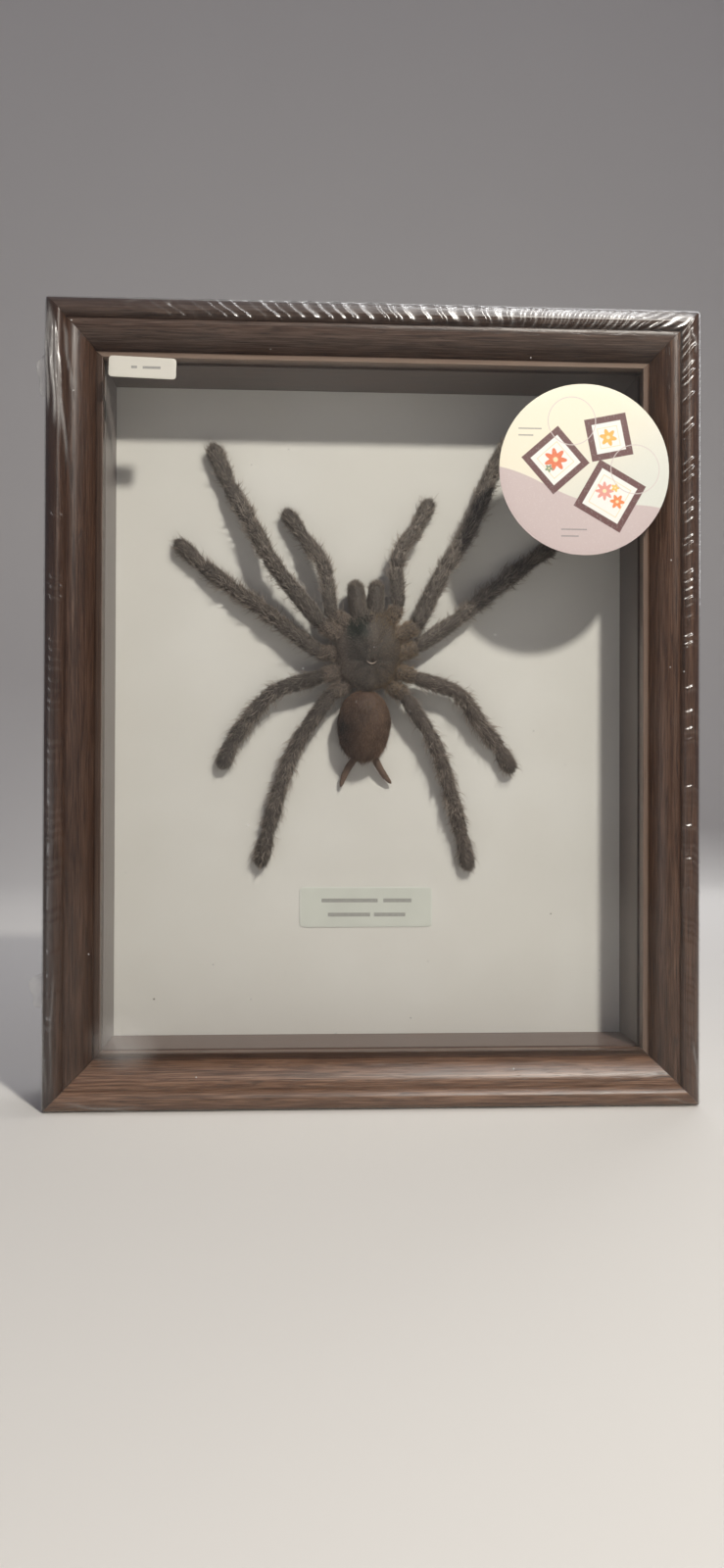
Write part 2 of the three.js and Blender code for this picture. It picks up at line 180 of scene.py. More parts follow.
class Wire:
    # one output of a node; arithmetic on it adds Math nodes
    def __init__(self, finish, socket):
        self.finish, self.socket = finish, socket

    def maths(self, operation, *values):
        return self.finish.node("ShaderNodeMath", {"operation": operation}, dict(enumerate(values)))

    def __add__(self, other):
        return self.maths("ADD", self, other)

    def __sub__(self, other):
        return self.maths("SUBTRACT", self, other)

    def __rsub__(self, other):
        return self.maths("SUBTRACT", other, self)

    def __mul__(self, other):
        return self.maths("MULTIPLY", self, other)

    def __truediv__(self, other):
        return self.maths("DIVIDE", self, other)

    def __pow__(self, other):
        return self.maths("POWER", self, other)

    __radd__ = __add__
    __rmul__ = __mul__

    def size(self):
        return self.maths("ABSOLUTE", self)

    def cosine(self):
        return self.maths("COSINE", self)

    def least(self, other):
        return self.maths("MINIMUM", self, other)

    def most(self, other):
        return self.maths("MAXIMUM", self, other)

    def output(self, name):
        return Wire(self.finish, self.socket.node.outputs[name])

    def rise(self, low, high):
        # 0 at low, 1 at high, and an S between them; high may be the lower one
        settings = {"interpolation_type": "SMOOTHSTEP"}
        return self.finish.node("ShaderNodeMapRange", settings,
                                {"Value": self, "From Min": low, "From Max": high})


class Finish:
    # one material and the calls that add to its nodes
    def __init__(self, name):
        self.material = bpy.data.materials.new(name)
        self.material.use_nodes = True
        self.tree = self.material.node_tree
        self.tree.nodes.clear()
        self.place = self.node("ShaderNodeTexCoord", output="Object")

    def node(self, kind, settings=None, inputs=None, output=0):
        made = self.tree.nodes.new(kind)
        made.location = (len(self.tree.nodes) * 190, 0)
        for key, value in (settings or {}).items():
            setattr(made, key, value)
        for key, value in (inputs or {}).items():
            if isinstance(value, Wire):
                self.tree.links.new(value.socket, made.inputs[key])
            else:
                made.inputs[key].default_value = value
        return Wire(self, made.outputs[output]) if made.outputs else made

    def mix(self, first, second, factor, blend="MIX"):
        first, second = (v if isinstance(v, Wire) else (*v, 1.0) for v in (first, second))
        settings = {"data_type": "RGBA", "blend_type": blend}
        return self.node("ShaderNodeMix", settings, {0: factor, 6: first, 7: second}, 2)

    def noise(self, scale, detail=2.0, roughness=0.5, distortion=0.0):
        # a number for the scale is per metre; three draw the noise out
        vector = self.place
        if isinstance(scale, tuple):
            vector, scale = self.node("ShaderNodeMapping", {}, {"Vector": self.place, "Scale": scale}), 1.0
        inputs = {"Vector": vector, "Scale": scale, "Detail": detail, "Roughness": roughness}
        return self.node("ShaderNodeTexNoise", {}, {**inputs, "Distortion": distortion})

    def along(self, axis):
        # the place along X, Y or Z in millimetres
        return self.node("ShaderNodeSeparateXYZ", {}, {0: self.place}, axis) * 1000

    def mask(self, name):
        return self.node("ShaderNodeAttribute", {"attribute_name": name}, output="Fac")

    def raised(self, height, strength, distance):
        return self.node("ShaderNodeBump", {},
                         {"Height": height, "Strength": strength, "Distance": distance * 0.001})

    def solid(self, **inputs):
        names = {"color": "Base Color", "roughness": "Roughness", "normal": "Normal", "metallic": "Metallic",
                 "specular": "Specular IOR Level"}
        return self.node("ShaderNodeBsdfPrincipled", {}, {names[key]: value for key, value in inputs.items()})

    def blend(self, first, second, factor):
        return self.node("ShaderNodeMixShader", {}, {0: factor, 1: first, 2: second})

    def shown(self, shader):
        self.node("ShaderNodeOutputMaterial", {}, {"Surface": shader})
        return self.material


walnutLook = {
    "dark": (0.030, 0.0148, 0.0093),
    "middle": (0.070, 0.0355, 0.0212),
    "pale": (0.142, 0.082, 0.054),
    "pore": (0.010, 0.006, 0.005),
    "veils": {  # dull paper tone of the walls inside the case, its share per side set as painted light and shade, most on the lit left wall and least on the shaded right one
        "top": ((0.30, 0.272, 0.262), 0.36), "right": ((0.30, 0.272, 0.262), 0.31),
        "bottom": ((0.325, 0.236, 0.220), 0.34), "left": ((0.30, 0.272, 0.262), 0.70),
    },
    "bandShades": {"top": 0.45, "right": 0.10, "bottom": 0.0, "left": 0.55},  # painted shade: the outer edge darkened by this share of the dark tone, most on the top and left rails
    "roughness": 0.34,
    "grainHeight": 0.10,
    "litShades": {  # painted light and shade: each rail's grain made lighter or darker as the light falls on it, the bottom much lighter, the left darker, the top cooler as a painted reflection
        "top": (0.92, 1.06, 1.25), "right": (0.97, 0.92, 0.86),
        "bottom": (2.25, 2.30, 2.28), "left": (0.75, 0.70, 0.67),
    },
    "lipLights": {  # painted highlight and shade on the lip: lighter on the top and right rails, dark on the bottom one
        "top": ((0.27, 0.20, 0.158), 0.75), "right": ((0.24, 0.178, 0.145), 0.65),
        "bottom": ((0.032, 0.017, 0.012), 0.62), "left": ((0.20, 0.14, 0.11), 0.35),
    },
}


def walnut(side, inner):
    # stained grain drawn out along the rail: broad figure, streaks, fibres and short pores
    finish = Finish(("inner" + side.title() if inner else side) + "Walnut")
    # the rail's painted light and shade scales its grain colours
    litShade = (1.0, 1.0, 1.0) if inner else walnutLook["litShades"][side]
    level = sides[side][1]

    def drawn(along, across, detail=2.0, distortion=0.0):
        scale = (along, across, across) if level else (across, across, along)
        return finish.noise(scale, detail, distortion=distortion)

    figure = drawn(7, 130, 3, 0.8)
    streaks = drawn(24, 1250, 3, 0.2)
    fibres = drawn(70, 2600, 2)
    pores = drawn(150, 1700, 1).rise(0.62, 0.70)
    vein = drawn(16, 210, 2, 1.6).rise(0.56, 0.60) * drawn(60, 700).rise(0.42, 0.6)
    tone = figure * 0.25 + streaks * 0.38 + fibres * 1.3 - 0.44
    dark, middle, pale = (tuple(v * s for v, s in zip(walnutLook[key], litShade))
                          for key in ("dark", "middle", "pale"))
    color = finish.mix(finish.mix(dark, middle, tone.rise(0.14, 0.62)), pale, tone.rise(0.44, 0.98))
    color = finish.mix(color, walnutLook["pore"], (pores * 0.45).most(vein * 0.3))
    if inner:
        # the wall's paper tone, its share per side painting the wall's light and shade
        color = finish.mix(color, *walnutLook["veils"][side])
    else:
        # the lip's colour is a painted highlight on the top and right rails and painted shade on the bottom
        # one
        lip, share = walnutLook["lipLights"][side]
        # painted shade darkens the outer band
        color = finish.mix(color, walnutLook["dark"], finish.mask("band") * walnutLook["bandShades"][side])
        color = finish.mix(color, lip, finish.mask("lip") * (fibres * 0.6 + streaks * 0.4 + 0.5) * share)
    height = fibres * 0.5 + streaks * 0.4 - pores * 0.7 - vein * 0.5
    roughness = fibres * 0.16 + streaks * 0.12 + walnutLook["roughness"] - 0.12
    normal = finish.raised(height, 0.5, walnutLook["grainHeight"])
    return finish.shown(finish.solid(color=color, roughness=roughness, normal=normal, specular=0.4))


def cardFinish():
    # uncoated white card: soft mottling, fine fibres and two specks of dirt
    finish = Finish("whiteCard")
    cloud = finish.noise(22, 3)
    fibre = finish.noise(1800, 3, 0.7)
    color = finish.mix((0.735, 0.715, 0.675), (0.765, 0.748, 0.712), cloud.rise(0.35, 0.65))
    color = finish.mix(color, (0.68, 0.655, 0.605), fibre.rise(0.55, 0.8) * 0.35)
    specks = ((-83.1, 33.5, 0.42), (71.2, 66.0, 0.34))
    for x, z, radius in specks:
        speck = (x * 0.001, caseFit["boardFace"] * 0.001, z * 0.001)
        far = finish.node("ShaderNodeVectorMath", {"operation": "DISTANCE"},
                          {0: finish.place, 1: speck}, "Value")
        color = finish.mix(color, (0.12, 0.10, 0.08), far.rise(radius * 0.001, radius * 0.0006))
    normal = finish.raised(fibre, 0.35, 0.05)
    return finish.shown(finish.solid(color=color, roughness=0.9, normal=normal, specular=0.2))


def hardboardFinish():
    # pressed fibre with the screen pattern of its rough side
    finish = Finish("hardboard")
    fleck = finish.noise(900, 4, 0.7)
    cloud = finish.noise(35, 2)
    screen = (finish.along("X") * 3.9).cosine() * (finish.along("Z") * 3.9).cosine()
    color = finish.mix((0.115, 0.060, 0.030), (0.27, 0.16, 0.085), fleck * 0.7 + cloud * 0.4 - 0.05)
    color = finish.mix(color, (0.06, 0.032, 0.018), screen.rise(0.2, 1) * 0.3)
    normal = finish.raised(screen * 0.5 + fleck, 0.6, 0.15)
    return finish.shown(finish.solid(color=color, roughness=0.75, normal=normal))


def steelFinish():
    # zinc-plated strip, dulled in patches and scored along its length
    finish = Finish("platedSteel")
    patch = finish.noise(260, 3)
    score = finish.noise((300, 300, 6000), 2)
    color = finish.mix((0.48, 0.47, 0.45), (0.66, 0.66, 0.64), patch.rise(0.35, 0.7))
    roughness = patch * 0.25 + score * 0.15 + 0.18
    normal = finish.raised(score, 0.25, 0.03)
    return finish.shown(finish.solid(color=color, roughness=roughness, normal=normal, metallic=1.0))


def facing(finish, strength, base, normal=None):
    # the reflected share: small head on, rising steeply towards grazing
    inputs = {"Blend": 0.5, "Normal": normal} if normal else {"Blend": 0.5}
    edge = finish.node("ShaderNodeLayerWeight", {}, inputs, "Facing")
    return edge**5 * strength + base


def dust(finish, perMetre, share, radius):
    # a speck in some of the cells of a Voronoi pattern
    cells = finish.node("ShaderNodeTexVoronoi", {}, {"Vector": finish.place, "Scale": perMetre})
    picked = finish.node("ShaderNodeSeparateColor", {}, {0: cells.output("Color")})
    return cells.rise(radius * 1.5, radius * 0.7) * picked.rise(1 - share, 1 - share + 0.02)


def glassFinish():
    finish = Finish("clearGlass")
    clear = finish.node("ShaderNodeBsdfTransparent", {}, {"Color": (0.978, 0.982, 0.98, 1)})
    gloss = finish.node("ShaderNodeBsdfAnisotropic", {}, {"Roughness": 0.02})
    veil = finish.node("ShaderNodeBsdfDiffuse", {}, {"Color": (0.8, 0.8, 0.78, 1)})
    smear = finish.noise(14, 4, 0.6).rise(0.45, 0.8)
    pane = finish.blend(clear, gloss, facing(finish, 0.7, 0.012))
    return finish.shown(finish.blend(pane, veil, smear * 0.008 + dust(finish, 260, 0.12, 0.03) * 0.35))


filmLook = {
    "roughness": 0.11,
    "puckerRoughness": 0.13,  # added where the film is puckered
    "crinkle": 0.25,
    "haze": 0.009,
    "cornerHaze": 0.34,  # at the lower left
    "corner": (-89, 25),
    "vent": (80, -110),  # from the back's middle
    "ventRadius": 3.0,
}


def filmFinish():
    # clear shrink film: gloss, a little haze, dust, and a vent hole at the back
    finish = Finish("clearFilm")
    x, y, z = (finish.along(axis) for axis in "XYZ")
    crinkle = finish.noise(900, 3, 0.6) * 0.6 + finish.noise((260, 260, 900), 2) * 0.4
    edge = finish.mask("pucker")
    normal = finish.raised(crinkle * (edge * 0.9 + 0.1), filmLook["crinkle"], 0.12)
    roughness = edge * filmLook["puckerRoughness"] + filmLook["roughness"]
    clear = finish.node("ShaderNodeBsdfTransparent", {}, {"Color": (0.985, 0.985, 0.98, 1)})
    gloss = finish.node("ShaderNodeBsdfAnisotropic", {}, {"Roughness": roughness, "Normal": normal})
    veil = finish.node("ShaderNodeBsdfDiffuse", {}, {"Color": (0.8, 0.79, 0.77, 1)})
    skin = finish.blend(clear, gloss, facing(finish, 0.75, 0.016, normal) + edge * 0.022)
    cloud = finish.noise(26, 4, 0.6).rise(0.38, 0.72)
    cornerX, cornerZ = filmLook["corner"]
    corner = (((x - cornerX) ** 2.0 + ((z - cornerZ) * 1.2) ** 2.0) ** 0.5).rise(15, 1) * y.rise(0, -10)
    scratch = finish.noise((60, 60, 2400), 2).rise(0.70, 0.74) * finish.noise(40, 2).rise(0.55, 0.7)
    haze = cloud * filmLook["haze"] + corner * (cloud * 0.6 + 0.4) * filmLook["cornerHaze"] + 0.003
    # the spare flaps of film are hazier; along the creases this haze is a painted reflection
    haze = haze + finish.mask("spareAndSheen") * (cloud * 0.10 + 0.07) + scratch * 0.05
    haze = haze + dust(finish, 160, 0.30, 0.040) * 0.55 + dust(finish, 97, 0.10, 0.022) * 0.6
    skin = finish.blend(skin, veil, haze.least(1.0))
    ventX, ventZ = filmLook["vent"]
    across, up = x - ventX, z - (caseFit["middle"] + ventZ)
    reach = filmLook["ventRadius"]
    hole = ((across * across + up * up) ** 0.5).rise(reach + 0.1, reach - 0.1) * y.rise(20, 21)
    bare = finish.node("ShaderNodeBsdfTransparent")
    return finish.shown(finish.blend(skin, bare, hole))


papers = {
    "round": {"place": (74.4, 84.8), "half": (30.8, 30.8), "radius": 30.75, "lean": 0},
    "price": {"place": (-83.1, 118.1), "half": (11.8, 3.7), "radius": 1.2, "lean": 1.7},
    "label": {"place": (-1.4, -75.7), "half": (25.8, 7.8), "radius": 1.5, "lean": 0},
}


def fromMiddle(finish, look):
    # millimetres right and up from a paper's middle
    return finish.along("X") - look["place"][0], finish.along("Z") - (caseFit["middle"] + look["place"][1])


def stickerFinish():
    # matt printed paper: a pink field under pale ground, tiles with simple flowers and thin rings
    finish = Finish("printedPaper")
    x, z = fromMiddle(finish, papers["round"])
    grain = finish.noise(1500, 3, 0.6)
    color = finish.mix((0.81, 0.755, 0.60), (0.66, 0.675, 0.61), (x * 0.02 - z * 0.03).rise(-0.7, 0.7))
    pink = (z + x * 0.24 + 9 + (x * 0.11).cosine() * 2.2).rise(0.25, -0.25)
    color = finish.mix(color, (0.54, 0.445, 0.435), pink)

    def apart(centreX, centreZ):
        return ((x - centreX) ** 2.0 + (z - centreZ) ** 2.0) ** 0.5

    def line(value, width):
        return value.size().rise(width * 0.5 + 0.12, width * 0.5 - 0.12)

    def tile(centreX, centreZ, half, lean):
        # a turned square with a dark border and a paper middle
        u = (x - centreX) * math.cos(lean) + (z - centreZ) * math.sin(lean)
        v = (z - centreZ) * math.cos(lean) - (x - centreX) * math.sin(lean)
        return u.size().most(v.size()) - half

    def flower(centreX, centreZ, radius, petals, start):
        angle = finish.node("ShaderNodeMath", {"operation": "ARCTAN2"}, {0: z - centreZ, 1: x - centreX})
        reach = ((angle * petals + start).cosine() * 0.22 + 0.78) * radius
        return (apart(centreX, centreZ) - reach).rise(0.2, -0.2)

    dark = (0.105, 0.028, 0.026)
    for centreX, centreZ, half, lean in ((-10.5, 3.2, 8.0, 0.72), (8.8, 11.8, 6.9, 0.2),
                                         (9.2, -9.4, 8.9, 1.05)):
        edge = tile(centreX, centreZ, half, lean)
        color = finish.mix(color, (0.82, 0.82, 0.78), edge.rise(0.1, -0.1))
        color = finish.mix(color, dark, line(edge + 0.4, 2.3))
        color = finish.mix(color, (0.80, 0.60, 0.30), line(edge + 3.3, 0.28) * 0.7)
    blooms = (
        (-10.5, 3.4, 4.2, 7, 0.3, (0.72, 0.16, 0.05)),
        (8.6, 11.7, 3.2, 6, 1.0, (0.80, 0.42, 0.06)),
        (7.3, -7.6, 3.4, 8, 0.0, (0.74, 0.30, 0.24)),
        (11.9, -11.4, 2.7, 6, 0.6, (0.78, 0.22, 0.05)),
        (11.2, -6.4, 1.6, 5, 0.2, (0.80, 0.50, 0.10)),
        (-12.9, 0.2, 1.5, 5, 0.9, (0.22, 0.28, 0.16)),
    )
    for centreX, centreZ, radius, petals, start, tint in blooms:
        color = finish.mix(color, tint, flower(centreX, centreZ, radius, petals, start))
        color = finish.mix(color, (0.82, 0.70, 0.42),
                           apart(centreX, centreZ).rise(radius * 0.26, radius * 0.16))
    for centreX, centreZ, radius in ((-4.6, 17.4, 8.6), (18.4, 0.4, 8.8)):
        color = finish.mix(color, (0.60, 0.52, 0.50), line(apart(centreX, centreZ) - radius, 0.35) * 0.8)
    for left, right, up in ((-24, -15.5, 14.4), (-24, -18.5, 12.0), (-8.5, 1.0, -21.6), (-8.5, -2.0, -24.0)):
        rule = (line(z - up, 0.5)
                * (x - (left + right) / 2).size().rise((right - left) / 2, (right - left) / 2 - 0.15))
        color = finish.mix(color, (0.20, 0.19, 0.19), rule * 0.75)
    color = finish.mix(color, (0.88, 0.88, 0.86), grain.rise(0.5, 0.8) * 0.14)
    normal = finish.raised(grain, 0.25, 0.03)
    return finish.shown(finish.solid(color=color, roughness=grain * 0.2 + 0.42, normal=normal))


def paperFinish(name, look, ground, edgeTint, rules):
    # label paper with a faint cut edge and short plain rules where its words would be
    finish = Finish(name)
    x, z = fromMiddle(finish, look)
    grain = finish.noise(1400, 3, 0.6)
    cloud = finish.noise(60, 2)
    color = finish.mix(ground, tuple(0.94 * v for v in ground), cloud.rise(0.35, 0.7))
    edge = (x.size() - look["half"][0]).most(z.size() - look["half"][1]).rise(-0.7, -0.15)
    color = finish.mix(color, edgeTint, edge * 0.7)
    for centre, up, half, width, tint in rules:
        rule = ((z - up).size().rise(width / 2 + 0.1, width / 2 - 0.1)
                * (x - centre).size().rise(half, half - 0.15))
        color = finish.mix(color, tint, rule * (grain * 0.4 + 0.5))
    normal = finish.raised(grain, 0.3, 0.04)
    return finish.shown(finish.solid(color=color, roughness=0.55, normal=normal))


hairLooks = {
    "dark": {"skin": (0.044, 0.0345, 0.028), "root": (0.122, 0.105, 0.091), "tip": (0.500, 0.428, 0.368)},
    "brown": {"skin": (0.048, 0.0265, 0.018), "root": (0.145, 0.086, 0.060), "tip": (0.540, 0.350, 0.240)},
}
maskTints = {"warm": (0.33, 0.205, 0.085), "pale": (0.40, 0.30, 0.25), "dim": (0.012, 0.010, 0.008),
             "bare": (0.014, 0.019, 0.012)}


def hairFinish(name, look):
    # tone runs from a hair's root to its tip; the other masks tint whole patches
    finish = Finish(name)
    patch = finish.noise(170, 3, 0.6)
    fleck = finish.noise(1300, 2)
    tone = finish.mask("tone")
    color = finish.mix(look["skin"], look["root"], tone.rise(0.0, 0.3))
    color = finish.mix(color, look["tip"], (tone + patch * 0.5 - 0.25).rise(0.15, 1.15))
    color = finish.mix(color, maskTints["warm"], finish.mask("warm") * tone.rise(0.05, 0.8) * 0.85)
    color = finish.mix(color, maskTints["pale"], finish.mask("pale") * (patch * 0.5 + 0.5))
    color = finish.mix(color, maskTints["dim"], finish.mask("dim"))
    bare = finish.mask("bare")
    color = finish.mix(color, maskTints["bare"], bare)
    roughness = 0.62 - tone * 0.16 + fleck * 0.1 - bare * 0.28
    normal = finish.raised(fleck, 0.3, 0.08)
    return finish.shown(finish.solid(color=color, roughness=roughness, normal=normal, specular=0.3))


print("finishes")
woods = {side: walnut(side, False) for side in sides}
innerWoods = {side: walnut(side, True) for side in sides}
hairs = {name: hairFinish(name + "Hair", look) for name, look in hairLooks.items()}
steel = steelFinish()


def dress(node, finish):
    # a CAD piece whose shape stays takes its finish
    mesh = nodes[node].data
    mesh.materials.clear()
    mesh.materials.append(finish)


for side in sides:
    dress("spacer_" + side, innerWoods[side])
    for count in (1, 2):
        dress(f"tab_{side}_{count}", steel)
dress("hanger", steel)
dress("mount_board", cardFinish())
dress("back_panel", hardboardFinish())
dress("glass_pane", glassFinish())


railShape = {
    "bandFoot": (0, 3.0),
    "bead": (4.5, 0),
    "cove": (6.9, 2.9),
    "humpEnd": (16.2, 10.0),
    "lip": (18.9, 7.95),
    "rebateDepth": 12.5,
}


def railSection():
    # the moulding's closed outline: x in from the outer edge, y behind the bead's ridge
    s = railShape
    width, inner, depth = (caseFit[k] for k in ("railWidth", "innerEdge", "depth"))
    back = np.linspace(depth - 0.6, 3.4, 7)
    outline = [
        [(0.6, depth), (0.15, depth - 0.15)],
        np.stack([np.zeros(7), back], 1),
        bezier([s["bandFoot"], (1.8, 0.4), s["bead"]], 12),
        bezier([s["bead"], (6.3, 0.5), s["cove"]], 10)[1:],
        bezier([s["cove"], (9.4, 1.8), (14.1, 4.2), s["humpEnd"]], 20)[1:],
        bezier([s["humpEnd"], (17.0, 9.3), s["lip"]], 8)[1:],
        bezier([s["lip"], (width, 7.95), (width, 8.5)], 5)[1:],
        [(width, s["rebateDepth"]), (inner, s["rebateDepth"]), (inner, 30), (inner, depth)],
    ]
    return np.concatenate([np.array(run, float) for run in outline])


def rail(side, angle, level):
    # the outline carried along the side, each point as far as its own mitre, then turned about Y
    section = railSection()
    length, reach = ((caseFit["width"], caseFit["height"] / 2) if level
                     else (caseFit["height"], caseFit["width"] / 2))
    share = np.linspace(-1, 1, 49)[:, None]
    half = length / 2 - section[:, 0] - caseFit["mitreGap"] / 2
    along = share * half
    wave = 0.05 * np.sin(along * 0.11 + angle) + 0.03 * np.sin(along * 0.37 + section[:, 0])
    up = reach - section[:, 0] + 0 * along
    depth = section[:, 1] + wave * (section[:, 1] < 10) + caseFit["front"]
    a = math.radians(angle)
    x = along * math.cos(a) + up * math.sin(a)
    z = up * math.cos(a) - along * math.sin(a) + caseFit["middle"]
    points = np.stack([x, depth, z], -1)
    rows, columns = points.shape[:2]
    form = Form("lip", "band")
    ends = [np.arange(columns)[::-1], np.arange(columns) + (rows - 1) * columns]
    lip = smooth(section[:, 0], 16.3, 17.5) * (section[:, 1] < 9.9) + 0 * along
    band = smooth(section[:, 0], 5.2, 3.8) + 0 * along
    masks = {"lip": lip.ravel(), "band": band.ravel()}
    form.add(points.reshape(-1, 3), gridQuads(rows, columns), rims=ends, masks=masks)
    return form.make("rail_" + side + "_wood", woods[side], "rail_" + side, 32)


print("rails")
for side, (angle, level) in sides.items():
    rail(side, angle, level)


# Along each side, clockwise from its start: how tall and how far apart the puckers are and
# how far they lean. Creases run from one place to another: along, across, along, across.
filmFolds = {
    "top": {
        "at": [0, 16, 24, 60, 90, 128, 160, 170, 185, 200, 212, 220, 235],
        "tall": [0.04, 0.14, 0.22, 0.32, 0.42, 0.50, 0.46, 0.32, 0.26, 0.20, 0.20, 0.28, 0.12],
        "apart": [5.5, 5.5, 5.2, 5.0, 5.0, 5.5, 5.5, 4.0, 3.2, 3.0, 3.0, 5, 5],
        "lean": [0.8, 0.8, 0.8, 0.8, 0.8, 0.75, 0.7, 0.2, 0.08, 0, 0, -0.8, -0.8],
        "across": (-3.4, -1.8, 4.6, 7.0),
        "creases": [(213, 0.6, 223, 4.6, 0.5, 0.4), (217, 0.2, 228, 4.2, 0.5, 0.45),
                    (222, 0.2, 231, 3.2, 0.4, 0.3), (26, 2.2, 36, 4.6, 0.6, 0.2),
                    (40, 1.4, 46, 4.8, 0.6, 0.2)],
    },
    "right": {
        "at": [0, 12, 20, 60, 110, 150, 200, 250, 275, 288],
        "tall": [0.15, 0.38, 0.50, 0.46, 0.38, 0.30, 0.36, 0.44, 0.30, 0.1],
        "apart": [3, 2.9, 2.9, 3.1, 3.4, 3.1, 2.9, 2.7, 3, 4],
        "lean": [0.3, 0.2, 0, 0, -0.1, 0.1, 0.1, 0, 0, 0],
        "across": (-3.0, -0.4, 3.6, 5.6),
        "uneven": (-0.5, 1.25),
        "creases": [(4, 1.0, 14, 3.0, 0.4, 0.3), (268, 1.6, 284, 3.8, 0.4, 0.3)],
    },
    "bottom": {
        "at": [0, 10, 40, 100, 160, 210, 235],
        "tall": [0.05, 0.14, 0.16, 0.16, 0.14, 0.10, 0.05],
        "apart": [4, 4.5, 5, 5.5, 5, 5, 5],
        "lean": [0.6, 0.6, 0.5, 0.5, 0.4, 0.3, 0.3],
        "across": (0.5, 3.2, 4.6, 7.5),
        "creases": [(205, 4.5, 231, 0.8, 0.4, 0.35), (200, 3.2, 229, 2.4, 0.35, 0.25),
                    (10, 0.6, 3, 3.8, 0.4, 0.25)],
    },
    "left": {
        "at": [0, 20, 60, 120, 195, 226, 244, 288],
        "tall": [0.06, 0.16, 0.34, 0.36, 0.36, 0.22, 0.04, 0.02],
        "apart": [4, 4, 3.8, 3.6, 3.8, 3.6, 3.8, 4],
        "lean": [-0.8, -0.5, -0.3, -0.2, -0.2, -0.3, -0.4, -0.4],
        "across": (-3.2, -1.0, 3.0, 6.0),
        "uneven": (-0.4, 1.2),
        "creases": [(246, 0.9, 284, 2.4, 0.55, 0.7), (249, 3.6, 285, 4.0, 0.6, 0.75),
                    (258, 2.2, 286, 3.2, 0.4, 0.5), (253, 5.2, 280, 4.6, 0.5, 0.5),
                    (232, -3.6, 274, 0.4, 0.5, 0.45), (262, -5.2, 284, -2.2, 0.5, 0.45),
                    (242, -0.8, 282, 1.2, 0.45, 0.5),
                    (3, 2.6, 34, 4.8, 0.4, 0.3), (2, 1.4, 48, 0.4, 0.35, 0.25), (6, 4.2, 60, 5.6, 0.4, 0.2)],
    },
}
filmCounts = {"top": 450, "right": 640, "bottom": 270, "left": 440}
filmLift = 0.42


def filmSection():
    # inset and depth of the film's rows, from the front's middle over the bead to the back's,
    # and how far each lies from the bead's ridge along the film. Over the outer band the film
    # stands off the wood: its depth grows with a power of the way out.
    out = np.linspace(0, 4.6 + filmLift, 17)
    band = np.stack([4.6 - out, 0.022 * out**3.15 - 0.45], 1)
    front = [(inset, -0.45) for inset in (100, 60, 30, 17, 12, 9.6, 8.6, 7.9, 7.3, 6.8, 6.3, 5.8, 5.35, 4.95)]
    side = [(-filmLift, d) for d in (3.6, 4.6, 6, 8, 11, 15, 20, 27, 34, 39, 42.5, 44.6)]
    back = ([(-0.3, 45.6), (0.1, 46.2), (0.8, 46.45)]
            + [(inset, 46.48) for inset in (2, 4, 8, 15, 32, 62, 100)])
    rows = np.concatenate([front, band, side, back])
    run = np.concatenate([[0], np.cumsum(np.linalg.norm(np.diff(rows, axis=0), axis=1))])
    return rows, run - run[len(front)]


def folds(settings, along, run):
    # puckers: a raised cosine of the distance along, leaning as they run across, each with its
    # own height; creases: bells round a straight line, fading towards their ends
    dense = np.linspace(-20, 310, 3301)
    spacing = np.interp(dense, settings["at"], settings["apart"])
    wobble = 0.35 * np.sin(dense * 0.31) + 0.25 * np.sin(dense * 0.83 + 1)
    phase = np.cumsum(0.1 / spacing) + wobble * 0.3
    lean = np.interp(along, settings["at"], settings["lean"])
    place = along[None, :] + lean[None, :] * run[:, None] + 0.35 * np.sin(run[:, None] * 1.3)
    count = np.interp(place, dense, phase)
    each = np.maximum(chance.uniform(*settings.get("uneven", (0.35, 1.25)), 400),
                      0)[np.floor(count).astype(int) % 400]
    crest = (0.5 - 0.5 * np.cos(turn * count)) ** 1.8 * each
    start, full, fading, end = settings["across"]
    over = smooth(run, start, full) * (smooth(run, end, fading) + 0.25 * smooth(run, 14, 6))
    height = np.interp(along, settings["at"], settings["tall"]) * crest * over[:, None]
    creased = 0 * height
    for fromAlong, fromRun, toAlong, toRun, wide, tall in settings["creases"]:
        step = np.array([toAlong - fromAlong, toRun - fromRun])
        apart = np.stack(np.broadcast_arrays(along[None, :] - fromAlong, run[:, None] - fromRun), -1)
        share = (apart @ step) / (step @ step)
        off = (apart @ np.array([-step[1], step[0]])) / np.linalg.norm(step)
        off = off + 0.3 * np.sin(share * 9)
        fold = tall * bump(off, 0, wide) * smooth(share, -0.1, 0.2) * smooth(share, 1.1, 0.8)
        height, creased = height + fold, creased + fold
    return height, creased


ears = ({"up": 262.0, "high": 15.0, "far": 4.0, "y": -17.5},
        {"up": 42.0, "high": 12.0, "far": 6.2, "y": -15.5})


def ear(form, up, high, far, y):
    # a flap of spare film at the left side: a crumpled sheet with a rounded outer edge, doubled
    # back on itself so that it is closed
    v, u = np.meshgrid(np.linspace(-1, 1, 22), np.linspace(0, 1, 15), indexing="ij")
    reach = far * np.sqrt(np.clip(1 - v**2 * 0.96, 0, 1)) * (0.86 + 0.14 * np.sin(v * 5))
    x = -caseFit["width"] / 2 - filmLift - u * reach
    z = up + v * high / 2 + u * 1.2 * np.sin(v * 3)
    ripple = 0.55 * np.sin(v * 7 + u * 2) * u + 0.3 * np.sin(v * 15 + u * 5) * u + 0.2 * np.sin(u * 13)
    sheet = np.stack([x, y + ripple + u * 2.0, z], -1)
    other = sheet + (0, 0.08, 0)
    rings = np.concatenate([sheet, other[:, ::-1]], axis=1)
    form.addTube(rings, masks={"pucker": 0.8, "spareAndSheen": 1.0})


